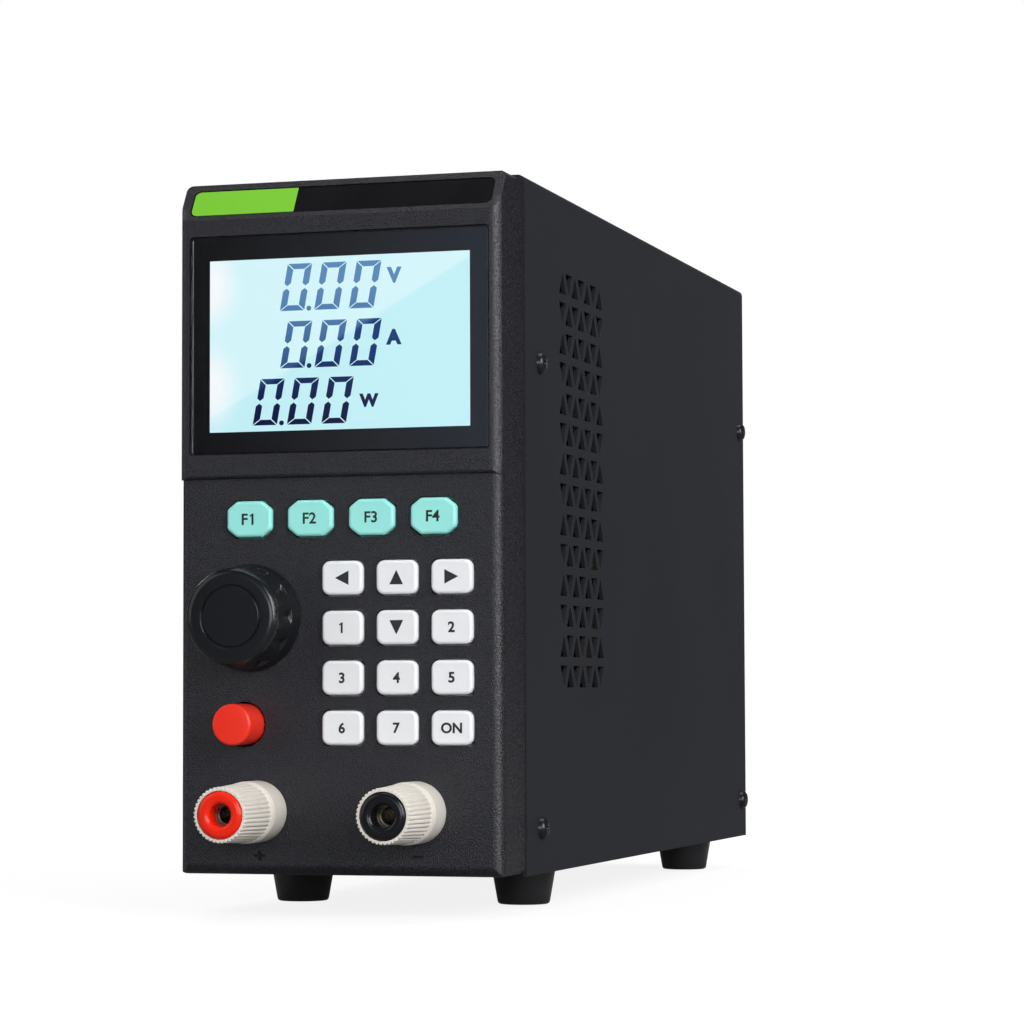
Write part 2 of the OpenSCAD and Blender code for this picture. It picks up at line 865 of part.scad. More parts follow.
module fan_frame() {
    motor_r = fan_hub_r - 1;
    strut_w = 4;
    web = 3;
    color("#1c1c1e") difference() {
        union() {
            backing(0, fan_front, fan_z) difference() {
                linear_extrude(fan_d) round_rect(fan_w, fan_w, 4);
                translate([0, 0, -cut]) cylinder(r = fan_duct_r, h = fan_d + 2 * cut);
            }
            backing(0, fan_front, fan_z) cylinder(r = motor_r, h = web);
            for (a = [45 : 90 : 315]) {
                backing(0, fan_front, fan_z) rotate(a) translate([motor_r - 2, -strut_w / 2, 0])
                    cube([fan_duct_r - motor_r + 3.5, strut_w, web]);
            }
        }
        backing(0, fan_front - cut, fan_z) cylinder(r = fan_shaft_r + run_gap, h = web + 2 * cut);
        at_fan_holes(fan_front - cut) cylinder(r = fan_screw_r + fan_screw_gap, h = fan_d + 2 * cut);
    }
}

module fan_rotor() {
    gap = 3.6;
    hub_h = fan_d - gap - 2;
    blade_t = 1.6;
    pitch_a = 38;
    color("#232326") backing(0, fan_front + gap, fan_z) {
        rimmed(fan_hub_r, hub_h, 1.5);
        translate([0, 0, -gap]) cylinder(r = fan_shaft_r, h = gap + cut);
        intersection() {
            translate([0, 0, 1]) tube(fan_rotor_r, fan_hub_r - 1, hub_h - 2);
            for (i = [0 : fan_blades - 1]) {
                rotate(i * 360 / fan_blades) translate([0, 0, hub_h / 2]) rotate([pitch_a, 0, 0])
                    translate([fan_hub_r - 1.5, -fan_d, -blade_t / 2])
                        cube([fan_hub_r + 2, 2 * fan_d, blade_t]);
            }
        }
    }
}

module fan_guard() {
    eye_r = 2.9;
    eye_at = norm([fan_hole, fan_hole]);
    color("#c2c5c9") backing(0, rear_y + wire_r, fan_z) {
        for (r = guard_rings) {
            translate([0, 0, 1.1]) rotate_extrude() translate([r, 0]) circle(wire_r);
        }
        for (a = [45 : 90 : 315]) {
            rotate(a) {
                translate([guard_rings[0] - wire_r, 0, 0]) rotate([0, 90, 0])
                    cylinder(r = wire_r, h = eye_at - eye_r - guard_rings[0] + wire_r);
                translate([eye_at, 0, 0]) rotate_extrude() translate([eye_r, 0]) circle(wire_r);
            }
        }
    }
}

module fan_screws() {
    head_r = 3.6;
    head_h = 2.2;
    color("#b8bbc0") at_fan_holes(rear_y + 2 * wire_r)
        pan_screw(head_r, head_h, fan_screw_r, fan_d + plate + 2 * wire_r);
}

// Keyed outline of the mains socket, its two upper corners cut
module socket_outline() {
    w = inlet_w / 2;
    h = inlet_h / 2;
    key = 5;
    polygon([[-w, -h], [w, -h], [w, h - key], [w - key, h], [key - w, h], [-w, h - key]]);
}

module power_inlet() {
    mid_z = (inlet_low + inlet_top) / 2;
    rim = 2;
    color("#17171a") difference() {
        union() {
            block([-inlet_x, rear_y - inlet_depth, inlet_low], [inlet_x, rear_y, inlet_top]);
            backing(0, rear_y, mid_z) linear_extrude(inlet_lip)
                round_rect(2 * (inlet_x + rim), inlet_top - inlet_low + 2 * rim, rim);
        }
        backing(0, rear_y + inlet_lip - inlet_cavity, inlet_z)
            linear_extrude(inlet_cavity + cut) socket_outline();
        block([-drawer_w / 2 - slack, rear_y + inlet_lip - drawer_l - 2 * slack,
               drawer_z - drawer_h / 2 - slack],
              [drawer_w / 2 + slack, rear_y + inlet_lip + cut, drawer_z + drawer_h / 2 + slack]);
    }
}

module inlet_pins() {
    pin_back = rear_y + inlet_lip - inlet_cavity;
    pin_l = 11;
    color("#c9ccd0") for (p = [[-7, -2], [7, -2], [0, 2]]) {
        block([p[0] - 1, pin_back, inlet_z + p[1] - 2], [p[0] + 1, pin_back + pin_l, inlet_z + p[1] + 2]);
    }
}

module fuse_drawer() {
    back_y = rear_y + inlet_lip - drawer_l;
    proud = 1;
    nail_x = 3;
    tray_wall = 2;
    color("#1d1d20") difference() {
        block([-drawer_w / 2, back_y, drawer_z - drawer_h / 2],
              [drawer_w / 2, rear_y + inlet_lip + proud, drawer_z + drawer_h / 2]);
        block([-nail_x, rear_y + inlet_lip - 1, drawer_z + drawer_h / 2 - 2.5],
              [nail_x, rear_y + inlet_lip + proud + cut, drawer_z + drawer_h]);
        block([tray_wall - drawer_w / 2, back_y + tray_wall, drawer_z - 2.6],
              [drawer_w / 2 - tray_wall, rear_y - 3, drawer_z + drawer_h]);
    }
}

module comm_port() {
    shell_t = 0.8;
    shell_w = 30.8;
    shell_h = 12.5;
    lean = 1.4;
    low_x = port_w / 2 - lean;
    pin_r = 0.6;
    pin_gap = 2.77;
    row_gap = 2.84;
    body_l = 8;
    jack_x = 12.5;
    jack_r = 2.7;
    jack_l = 4;
    color("#aeb1b6") {
        backing(0, rear_y, port_z) linear_extrude(shell_t) round_rect(shell_w, shell_h, 1);
        difference() {
            backing(0, rear_y - plate - body_l, port_z) linear_extrude(plate + body_l + port_reach)
                polygon([[-port_w / 2, port_h / 2], [port_w / 2, port_h / 2],
                         [low_x, -port_h / 2], [-low_x, -port_h / 2]]);
            for (i = [0 : 8]) {
                row = i < 5 ? 0 : 1;
                backing((i < 5 ? i - 2 : i - 6.5) * pin_gap, rear_y + 1, port_z + (0.5 - row) * row_gap)
                    cylinder(r = pin_r, h = port_reach);
            }
        }
        for (x = [-jack_x, jack_x]) {
            backing(x, rear_y + shell_t, port_z) cylinder(r = jack_r, h = jack_l, $fn = 6);
        }
    }
}

module heat_sink() {
    base_t = 6;
    fin_t = 1.6;
    fins = 11;
    fin_top = 138;
    step = (2 * sink_x - fin_t) / (fins - 1);
    color("#a9adb2") facing(0, sink_rear, 0) linear_extrude(sink_rear - sink_front) {
        translate([-sink_x, sink_low]) square([2 * sink_x, base_t]);
        for (i = [0 : fins - 1]) {
            translate([i * step - sink_x, sink_low + base_t / 2])
                square([fin_t, fin_top - sink_low - base_t / 2]);
        }
    }
}

module power_transistors() {
    body_x = 8;
    body_l = 20;
    body_t = 5;
    leg_w = 1.2;
    leg_gap = 5.4;
    first = 124;
    pitch = 23;
    count = 4;
    color("#1b1b1d") for (y = [first : pitch : first + (count - 1) * pitch]) {
        block([-body_x, y - body_l / 2, sink_low - body_t], [body_x, y + body_l / 2, sink_low]);
        for (x = [-leg_gap, 0, leg_gap]) {
            block([x - leg_w / 2, y - leg_w / 2, main_z + board_t],
                  [x + leg_w / 2, y + leg_w / 2, sink_low - body_t / 2]);
        }
    }
}

module sink_posts() {
    pillar_r = 3.5;
    color("#c2a552") for (p = post_stand) {
        translate([p[0], p[1], plate]) cylinder(r = pillar_r, h = main_z - plate);
        translate([p[0], p[1], main_z]) cylinder(r = stand_pin_r, h = sink_low - main_z);
    }
}

module main_board() {
    header_x = 15;
    header_d = 4;
    color("#1f5a3a") difference() {
        union() {
            block([-main_x, main_front, main_z], [main_x, main_rear, main_z + board_t]);
            block([-header_x, header_y - header_d, main_z],
                  [header_x, header_y + header_d, main_z + board_t + header_h]);
        }
        for (p = post_stand) {
            translate([p[0], p[1], main_z - cut]) cylinder(r = stand_pin_r, h = board_t + 2 * cut);
        }
    }
}

module filter_capacitors() {
    can_r = 8;
    can_h = 30;
    crimp = 1;
    color("#23262e") for (x = [-20, 0, 20], y = [74, 94]) {
        translate([x, y, main_z + board_t]) rimmed(can_r, can_h, crimp);
    }
}

module transformer_core() {
    color("#6f7276") difference() {
        block([-stack_x, stack_front, plate], [stack_x, stack_rear, stack_top]);
        for (side = [-1, 1]) {
            block([side > 0 ? limb : -2 * limb, stack_front - cut, plate + limb],
                  [side > 0 ? 2 * limb : -limb, stack_rear + cut, stack_top - limb]);
        }
    }
}

module transformer_coil() {
    bulge = 10;
    color("#c98b2e") difference() {
        block([slack - 2 * limb, stack_front - bulge, plate + limb + slack],
              [2 * limb - slack, stack_rear + bulge, stack_top - limb - slack]);
        block([-limb, stack_front, plate], [limb, stack_rear, stack_top]);
    }
}

// Quarter bend of a lead in the XY plane, from the -X side to the +Y side of its middle
module quarter_bend() {
    rotate(90) rotate_extrude(angle = 90) translate([lead_bend, 0]) circle(lead_r);
}

module red_lead() {
    run_y = 52;
    rise_x = 29;
    start = post_xs[0];
    color("#c8281e") {
        facing(start, run_y - lead_bend, post_z) cylinder(r = lead_r, h = run_y - lead_bend - stud_back);
        translate([start + lead_bend, run_y - lead_bend, post_z]) quarter_bend();
        translate([start + lead_bend, run_y, post_z]) rotate([0, 90, 0])
            cylinder(r = lead_r, h = rise_x - start - 2 * lead_bend);
        translate([rise_x - lead_bend, run_y, post_z + lead_bend])
            rotate([90, 0, 0]) rotate(180) quarter_bend();
        translate([rise_x, run_y, post_z + lead_bend])
            cylinder(r = lead_r, h = main_z - post_z - lead_bend);
    }
}

module black_lead() {
    rise_y = 42;
    color("#202022") {
        facing(post_xs[1], rise_y - lead_bend, post_z)
            cylinder(r = lead_r, h = rise_y - lead_bend - stud_back);
        translate([post_xs[1], rise_y - lead_bend, post_z + lead_bend]) rotate([0, -90, 0]) quarter_bend();
        translate([post_xs[1], rise_y, post_z + lead_bend])
            cylinder(r = lead_r, h = main_z - post_z - lead_bend);
    }
}

// Flat cable that eases down from the front board to the header of the main board
module ribbon_cable() {
    start_y = board_y + board_t;
    run = header_y - start_y;
    high = 72;
    low = main_z + board_t + header_h;
    thick = 0.9;
    steps = 12;
    path = [for (i = [0 : steps])
        [start_y + run * i / steps, low + (high - low) * (1 + cos(180 * i / steps)) / 2]];
    color("#9a9da2") translate([-ribbon_x, 0, 0]) rotate([90, 0, 90]) linear_extrude(2 * ribbon_x)
        polygon(concat(path, [for (i = [steps : -1 : 0]) path[i] + [0, thick]]));
}

seat() front_bezel();
seat() label_strip();
seat() label_tab();
seat() display_window();
seat() lcd_panel();
seat() front_board();
seat() board_screws();
seat() key_switches();
seat() encoder_body();
seat() encoder_shaft();
seat() knob();
seat() power_switch();
seat() power_button();
seat() post_collars();
seat() stud(post_xs[0]);  // red_stud
seat() stud(post_xs[1]);  // black_stud
seat() core(post_xs[0], "#eb321e");  // red_core
seat() core(post_xs[1], "#17171a");  // black_core
seat() grip(post_xs[0]);  // red_grip
seat() grip(post_xs[1]);  // black_grip
seat() post_nuts();
seat() base_chassis();
seat() top_cover();
seat() rear_panel();
seat() feet();
seat() case_screws();
seat() fan_frame();
seat() fan_rotor();
seat() fan_guard();
seat() fan_screws();
seat() power_inlet();
seat() inlet_pins();
seat() fuse_drawer();
seat() comm_port();
seat() heat_sink();
seat() power_transistors();
seat() sink_posts();
seat() main_board();
seat() filter_capacitors();
seat() transformer_core();
seat() transformer_coil();
seat() red_lead();
seat() black_lead();
seat() ribbon_cable();
for (i = [0 : len(key_places) - 1]) {
    seat() white_key(key_places[i]);
}
for (i = [0 : len(mode_places) - 1]) {
    seat() mode_key(mode_places[i]);
}
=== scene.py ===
from math import cos, pi, radians, sin, tan

import bmesh
import bpy
from mathutils import Matrix, Vector


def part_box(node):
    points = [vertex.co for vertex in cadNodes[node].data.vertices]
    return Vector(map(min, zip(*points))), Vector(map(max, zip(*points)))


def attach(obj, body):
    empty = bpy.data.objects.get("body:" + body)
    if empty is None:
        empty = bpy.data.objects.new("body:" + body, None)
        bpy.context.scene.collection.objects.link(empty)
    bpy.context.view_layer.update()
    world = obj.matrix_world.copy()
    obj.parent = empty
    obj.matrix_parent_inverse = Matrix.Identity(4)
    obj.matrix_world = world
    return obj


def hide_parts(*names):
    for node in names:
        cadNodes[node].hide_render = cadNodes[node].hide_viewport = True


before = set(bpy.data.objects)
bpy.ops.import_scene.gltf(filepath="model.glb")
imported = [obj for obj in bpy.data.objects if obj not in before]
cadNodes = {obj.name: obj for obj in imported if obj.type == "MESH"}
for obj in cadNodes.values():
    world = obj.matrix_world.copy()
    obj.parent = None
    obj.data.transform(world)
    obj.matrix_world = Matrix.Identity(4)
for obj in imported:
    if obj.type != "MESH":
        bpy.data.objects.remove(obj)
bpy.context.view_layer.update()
scene = bpy.context.scene
scene.view_settings.view_transform = "Standard"
mm = 0.001
mainBody = "case"
print("frame loaded:", len(cadNodes), "nodes")


# node wiring: a socket that takes part in sums, and the tree that it lives in
class Wire:
    def __init__(self, tree, socket):
        self.tree = tree
        self.socket = socket

    def maths(self, operation, other=0.0):
        return self.tree.add("ShaderNodeMath", {"operation": operation}, {0: self, 1: other})

    def __add__(self, other):
        return self.maths("ADD", other)

    def __sub__(self, other):
        return self.maths("SUBTRACT", other)

    def __rsub__(self, other):
        return self.tree.add("ShaderNodeMath", {"operation": "SUBTRACT"}, {0: other, 1: self})

    def __mul__(self, other):
        return self.maths("MULTIPLY", other)

    def __truediv__(self, other):
        return self.maths("DIVIDE", other)

    def __pow__(self, other):
        return self.maths("POWER", other)

    def __gt__(self, other):
        return self.maths("GREATER_THAN", other)


class Tree:
    def __init__(self, nodeTree):
        self.nodeTree = nodeTree

    def add(self, kind, settings=None, sockets=None, out=0):
        made = self.nodeTree.nodes.new(kind)
        for name, value in (settings or {}).items():
            setattr(made, name, value)
        for name, value in (sockets or {}).items():
            if isinstance(value, Wire):
                self.nodeTree.links.new(value.socket, made.inputs[name])
            else:
                made.inputs[name].default_value = value
        return Wire(self, made.outputs[out]) if made.outputs else None

    def spot(self):
        return self.add("ShaderNodeTexCoord", out="Object")

    def noise(self, place, scale, detail=2.0):
        return self.add("ShaderNodeTexNoise", None, {"Vector": place, "Scale": scale, "Detail": detail})

    def ease(self, value, low, high):
        return self.add("ShaderNodeMapRange", {"interpolation_type": "SMOOTHSTEP"},
                        {"Value": value, 1: low, 2: high})

    def mix(self, share, first, second):
        return self.add("ShaderNodeMix", {"data_type": "RGBA"}, {0: share, 6: first, 7: second}, 2)

    def apart(self, vector):
        return [self.add("ShaderNodeSeparateXYZ", None, {"Vector": vector}, axis) for axis in "XYZ"]


def tint(red, green, blue):
    def linear(value):
        share = value / 255
        return share / 12.92 if share <= 0.04045 else ((share + 0.055) / 1.055) ** 2.4
    return (linear(red), linear(green), linear(blue), 1.0)


def finishTree(name):
    finish = bpy.data.materials.new(name)
    finish.use_nodes = True
    finish.node_tree.nodes.clear()
    return finish, Tree(finish.node_tree)


def coated(tree, sockets):
    shader = tree.add("ShaderNodeBsdfPrincipled", None, sockets)
    tree.add("ShaderNodeOutputMaterial", None, {"Surface": shader})


# finishes: grain and cloud are pattern sizes in repeats per metre
def moulded(name, dark, light, grain=2600, cloud=60, rough=0.45, spread=0.12, bump=0.12, shine=0.5,
            coat=0.0, metal=0.0):
    finish, tree = finishTree(name)
    spot = tree.spot()
    fine = tree.noise(spot, grain, 3.0)
    broad = tree.noise(spot, cloud)
    normal = tree.add("ShaderNodeBump", None, {"Strength": bump, "Distance": 0.1 * mm, "Height": fine})
    coated(tree, {
        "Base Color": tree.mix(fine * 0.4 + broad * 0.6, tint(*dark), tint(*light)),
        "Roughness": fine * spread + broad * spread + (rough - spread),
        "Normal": normal,
        "Specular IOR Level": shine,
        "Coat Weight": coat,
        "Coat Roughness": 0.12,
        "Metallic": metal})
    return finish


# grained plastic, with a painted highlight along the rounded front edges
def bezelPlastic():
    look = {"grain": 3000, "pores": 5200, "cloud": 45, "grainRange": (0.30, 0.70), "bump": 0.06 * mm,
            "paintedHighlight": 1.9 * mm, "paintedHighlightDeep": 2.2 * mm, "paintedHighlightShare": 0.75}
    finish, tree = finishTree("bezelPlastic")
    spot = tree.spot()
    low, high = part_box("front_bezel")
    x, y, _ = tree.apart(spot)
    grain = tree.ease(tree.noise(spot, look["grain"], 2.0), *look["grainRange"])
    pores = tree.noise(spot, look["pores"], 1.0)
    cloud = tree.noise(spot, look["cloud"])
    # painted highlight: a band along both rounded front edges, fading out behind the front
    outer = tree.ease(x.maths("ABSOLUTE"), high.x - look["paintedHighlight"], high.x - look["paintedHighlight"] * 0.4)
    highlightMask = outer * (1 - tree.ease(y, low.y + look["paintedHighlightDeep"] * 0.5, low.y + look["paintedHighlightDeep"]))
    normal = tree.add("ShaderNodeBump", None, {"Strength": 1.0, "Distance": look["bump"],
                                               "Height": grain + pores * 0.5})
    plain = tree.mix(grain * 0.9 + cloud * 0.1, tint(4, 4, 6), tint(47, 47, 54))
    coated(tree, {
        # the grain is painted paler in that band, a painted highlight
        "Base Color": tree.mix(highlightMask * grain * look["paintedHighlightShare"], plain, tint(92, 93, 98)),
        "Roughness": grain * -0.12 + 0.38,
        "Normal": normal,
        "Specular IOR Level": 0.40})
    return finish


def casePaint():
    look = {"peel": 900, "dust": 4200, "cloud": 18}
    finish, tree = finishTree("casePaint")
    spot = tree.spot()
    peel = tree.noise(spot, look["peel"], 2.0)
    dust = tree.noise(spot, look["dust"], 2.0)
    cloud = tree.noise(spot, look["cloud"], 3.0)
    normal = tree.add("ShaderNodeBump", None, {"Strength": 0.10, "Distance": 0.08 * mm,
                                               "Height": peel * 0.7 + dust * 0.3})
    coated(tree, {
        "Base Color": tree.mix(cloud * 0.7 + dust * 0.3, tint(36, 37, 41), tint(44, 45, 49)),
        "Roughness": cloud * 0.12 + dust * 0.08 + 0.44,
        "Normal": normal,
        "Specular IOR Level": 0.08})
    return finish


def turnedMetal(name, dark, light, rings):
    finish, tree = finishTree(name)
    spot = tree.spot()
    along = tree.apart(spot)[1]
    lathe = (along * rings).maths("SINE") * 0.5 + 0.5
    stain = tree.noise(spot, 700, 3.0)
    normal = tree.add("ShaderNodeBump", None, {"Strength": 0.15, "Distance": 0.05 * mm, "Height": lathe})
    coated(tree, {
        "Base Color": tree.mix(stain, tint(*dark), tint(*light)),
        "Roughness": stain * 0.2 + 0.18,
        "Normal": normal,
        "Metallic": 1.0})
    return finish


def windowClear():
    finish, tree = finishTree("windowClear")
    smear = tree.noise(tree.spot(), 40, 3.0)
    coated(tree, {
        "Base Color": (0.97, 0.98, 1.0, 1.0),
        "Roughness": smear * 0.02 + 0.01,
        "IOR": 1.49,
        "Transmission Weight": 1.0})
    return finish


# the lit cell: white by the two lamps at its left edge, paler above a slanted line across it, a painted
# reflection of a lamp on the pane
cellLook = {"left": -30.4 * mm, "lampHigh": 13.4 * mm, "lampLow": -9.2 * mm, "lampCore": 1.0 * mm,
            "lampReach": 8.5 * mm, "lampFull": 0.95, "pixels": 9000, "slant": 0.56, "glareLineUp": 0.3 * mm,
            "glareLineSoft": 1.2 * mm}


# how far a point lies above the slanted line that bounds the painted reflection
def aboveGlareLine(middle, x, z):
    return z - (middle.z + cellLook["glareLineUp"]) - (x - middle.x) * cellLook["slant"]


def cellGlow(middle):
    look = cellLook
    finish, tree = finishTree("cellGlow")
    spot = tree.spot()
    x, _, z = tree.apart(spot)
    across = x - (middle.x + look["left"])
    high = z - (middle.z + look["lampHigh"])
    low = z - (middle.z + look["lampLow"])
    nearest = (high * high).maths("MINIMUM", low * low)
    reach = (across * across + nearest * 0.5).maths("SQRT")
    lamp = 1 - tree.ease(reach, look["lampCore"], look["lampReach"])
    # painted reflection: the cell is paler above the slanted line
    paintedGlare = tree.ease(aboveGlareLine(middle, x, z), 0.0, look["glareLineSoft"])
    pixels = tree.noise(spot, look["pixels"], 1.0)
    field = tree.mix(paintedGlare, tint(198, 243, 247), tint(216, 249, 251))
    lit = tree.mix(lamp * look["lampFull"] + pixels * 0.02, field, tint(255, 255, 255))
    coated(tree, {
        "Base Color": (0.05, 0.08, 0.09, 1.0),
        "Roughness": 0.4,
        "Specular IOR Level": 0.1,
        "Emission Color": lit,
        "Emission Strength": 1.0})
    return finish


# display ink: navy, turning a brighter blue towards the top; above the slanted line a painted reflection
# turns it steel blue, most towards the top
inkLook = {"paintedGlare": (-0.4 * mm, 1.4 * mm), "pale": (-12 * mm, 16 * mm), "paleGain": 0.85, "paleLeast": 0.12,
           "deep": (-17 * mm, 3 * mm)}


def segmentInk(middle):
    look = inkLook
    finish, tree = finishTree("segmentInk")
    spot = tree.spot()
    x, _, z = tree.apart(spot)
    rise = z - middle.z
    # painted reflection: the ink is paler steel blue above the slanted line
    paintedGlare = tree.ease(aboveGlareLine(middle, x, z), *look["paintedGlare"])
    pale = paintedGlare * (tree.ease(rise, *look["pale"]) * look["paleGain"] + look["paleLeast"])
    deep = tree.mix(tree.ease(rise, *look["deep"]), tint(0, 10, 62), tint(4, 54, 118))
    coated(tree, {
        "Base Color": (0.001, 0.002, 0.008, 1.0),
        "Roughness": 0.5,
        "Specular IOR Level": 0.0,
        "Emission Color": tree.mix(pale, deep, tint(92, 142, 190)),
        "Emission Strength": 1.0})
    return finish


finishes = {
    "bezel": bezelPlastic(),
    "paint": casePaint(),
    "strip": moulded("stripGloss", (10, 10, 13), (15, 15, 19), grain=1800, rough=0.22, bump=0.03, shine=0.35),
    "tab": moulded("tabGreen", (110, 187, 42), (122, 199, 52), grain=2400, rough=0.42, bump=0.08, shine=0.25),
    "print": moulded("borderPrint", (15, 16, 21), (18, 19, 25), rough=0.5, bump=0.02, shine=0.1),
    "white": moulded("keyWhite", (231, 233, 236), (239, 241, 243), grain=1500, cloud=240, rough=0.42,
                     bump=0.05, shine=0.35),
    "cyan": moulded("keyCyan", (148, 230, 222), (160, 238, 230), grain=1500, cloud=240, rough=0.42,
                    bump=0.05, shine=0.35),
    "legend": moulded("legendInk", (34, 36, 40), (48, 50, 54), rough=0.5, bump=0.03, shine=0.3),
    "knob": moulded("knobGloss", (18, 19, 22), (24, 26, 29), grain=2200, rough=0.24, spread=0.05, bump=0.04,
                    shine=0.45),
    "red": moulded("buttonRed", (235, 48, 30), (245, 56, 38), grain=1700, rough=0.24, bump=0.04, shine=0.4),
    "ivory": moulded("postIvory", (213, 207, 198), (226, 221, 212), grain=1400, cloud=300, rough=0.5,
                     bump=0.10, shine=0.35),
    "coreRed": moulded("coreRed", (233, 36, 15), (243, 44, 21), grain=1600, rough=0.18, spread=0.04,
                       bump=0.02, shine=0.3),
    "coreBlack": moulded("coreBlack", (17, 17, 21), (24, 24, 28), grain=1600, rough=0.18, spread=0.04,
                         bump=0.02, shine=0.35),
    "rubber": moulded("footRubber", (26, 26, 29), (35, 35, 38), grain=1300, rough=0.17, spread=0.04,
                      bump=0.04, shine=0.7),
    "mark": moulded("markSmooth", (12, 12, 14), (18, 18, 21), grain=1800, rough=0.24, bump=0.03, shine=0.4),
    "screw": moulded("screwBlack", (40, 40, 43), (60, 60, 63), grain=2600, rough=0.26, bump=0.10, shine=0.5,
                     metal=0.7),
    "zinc": moulded("zincSteel", (150, 152, 156), (186, 188, 192), grain=1500, rough=0.34, bump=0.06,
                    metal=1.0),
    "wire": moulded("guardWire", (186, 188, 192), (214, 216, 220), grain=1200, rough=0.20, bump=0.03,
                    metal=1.0),
    "nylon": moulded("fanNylon", (22, 22, 24), (34, 34, 37), grain=1900, rough=0.46, bump=0.12, shine=0.4),
    "inlet": moulded("inletPlastic", (18, 18, 20), (28, 28, 31), grain=2300, rough=0.48, bump=0.15,
                     shine=0.4),
    "epoxy": moulded("epoxyBlack", (24, 24, 26), (36, 36, 39), grain=2600, rough=0.55, bump=0.2, shine=0.3),
    "board": moulded("boardGreen", (18, 70, 40), (30, 92, 54), grain=1100, cloud=400, rough=0.35, bump=0.06),
    "sink": moulded("sinkAluminium", (160, 163, 168), (188, 191, 195), grain=900, rough=0.38, bump=0.05,
                    metal=1.0),
    "sleeve": moulded("canSleeve", (24, 28, 40), (38, 44, 60), grain=800, rough=0.30, bump=0.03, coat=0.2),
    "iron": moulded("ironStack", (96, 98, 102), (126, 128, 132), grain=2800, rough=0.45, bump=0.2, metal=0.8),
    "tape": moulded("coilTape", (186, 120, 34), (206, 142, 52), grain=700, rough=0.35, bump=0.05),
    "leadRed": moulded("leadRed", (186, 26, 22), (206, 40, 32), grain=900, rough=0.5, bump=0.05),
    "leadBlack": moulded("leadBlack", (24, 24, 26), (34, 34, 37), grain=900, rough=0.5, bump=0.05),
    "ribbon": moulded("ribbonGrey", (140, 143, 148), (164, 167, 171), grain=900, rough=0.5, bump=0.05),
    "brass": turnedMetal("brassTurned", (186, 150, 80), (216, 184, 112), 9000),
    "nickel": turnedMetal("nickelTurned", (112, 106, 92), (160, 152, 136), 9000),
    "window": windowClear(),
}
print("finishes made:", len(finishes))


# meshes: rings of points joined side by side, closed at both ends or into a loop
def settle(mesh, angle=38.0):
    shape = bmesh.new()
    shape.from_mesh(mesh)
    bmesh.ops.remove_doubles(shape, verts=shape.verts, dist=1e-7)
    bmesh.ops.recalc_face_normals(shape, faces=shape.faces)
    shape.to_mesh(mesh)
    shape.free()
    mesh.shade_smooth()
    mesh.set_sharp_from_angle(angle=radians(angle))
    return mesh


def loft(name, rings, loop=False):
    count = len(rings[0])
    points = [point for ring in rings for point in ring]
    faces = []
    for row in range(len(rings) if loop else len(rings) - 1):
        first = row * count
        second = (row + 1) % len(rings) * count
        for k in range(count):
            after = (k + 1) % count
            faces.append((first + k, first + after, second + after, second + k))
    if not loop:
        for first in (0, (len(rings) - 1) * count):
            points.append(sum(points[first:first + count], Vector()) / count)
            faces += [(first + k, first + (k + 1) % count, len(points) - 1) for k in range(count)]
    mesh = bpy.data.meshes.new(name)
    mesh.from_pydata(points, [], faces)
    return settle(mesh)


def turned(name, profile, segments=96, loop=False):
    turn = 2 * pi / segments
    rings = [[Vector((r * cos(k * turn), r * sin(k * turn), h)) for k in range(segments)] for r, h in profile]
    return loft(name, rings, loop)


# points on an arc in a profile, angles in degrees
def bend(r, h, radius, start, end, steps=6):
    angles = [radians(start + (end - start) * i / steps) for i in range(steps + 1)]
    return [(r + radius * cos(a), h + radius * sin(a)) for a in angles]


def slide(start, end, steps):
    return [(start[0] + (end[0] - start[0]) * i / steps, start[1] + (end[1] - start[1]) * i / steps)
            for i in range(1, steps + 1)]


# convex outline moved inwards by a distance
def inset(outline, distance):
    moved = []
    for i, here in enumerate(outline):
        before = (here - outline[i - 1]).normalized()
        after = (outline[(i + 1) % len(outline)] - here).normalized()
        bisect = Vector((-before.y - after.y, before.x + after.x)).normalized()
        moved.append(here + bisect * (distance / Vector((-before.y, before.x)).dot(bisect)))
    return moved


def filleted(outline, radius, steps=6):
    points = []
    for i, here in enumerate(outline):
        back = (outline[i - 1] - here).normalized()
        ahead = (outline[(i + 1) % len(outline)] - here).normalized()
        half = back.angle(ahead) / 2
        centre = here + (back + ahead).normalized() * (radius / sin(half))
        start = here + back * (radius / tan(half)) - centre
        turn = start.angle_signed(here + ahead * (radius / tan(half)) - centre)
        points += [centre + Matrix.Rotation(-turn * k / steps, 2) @ start for k in range(steps + 1)]
    return points


def rectangle(width, height):
    return [Vector((x * width / 2, y * height / 2)) for x, y in ((-1, -1), (1, -1), (1, 1), (-1, 1))]


def octagon(width, height, cutX, cutY):
    right, top = width / 2, height / 2
    x, y = right - cutX, top - cutY
    return [Vector(p) for p in ((-x, -top), (x, -top), (right, -y), (right, y),
                                (x, top), (-x, top), (-right, y), (-right, -y))]


def level(outline, height):
    return [Vector((p.x, p.y, height)) for p in outline]


# flat outlines given a thickness, as one mesh
def plates(name, outlines, low, high):
    mesh = bpy.data.meshes.new(name)
    shape = bmesh.new()
    for outline in outlines:
        face = shape.faces.new([shape.verts.new((p[0], p[1], low)) for p in outline])
        made = bmesh.ops.extrude_face_region(shape, geom=[face])["geom"]
        top = [v for v in made if isinstance(v, bmesh.types.BMVert)]
        bmesh.ops.translate(shape, verts=top, vec=(0, 0, high - low))
    bmesh.ops.recalc_face_normals(shape, faces=shape.faces)
    shape.to_mesh(mesh)
    shape.free()
    return mesh


def linked(name, data):
    made = bpy.data.objects.new(name, data)
    scene.collection.objects.link(made)
    return made


def evaluated(holder):
    return bpy.data.meshes.new_from_object(holder.evaluated_get(bpy.context.evaluated_depsgraph_get()))


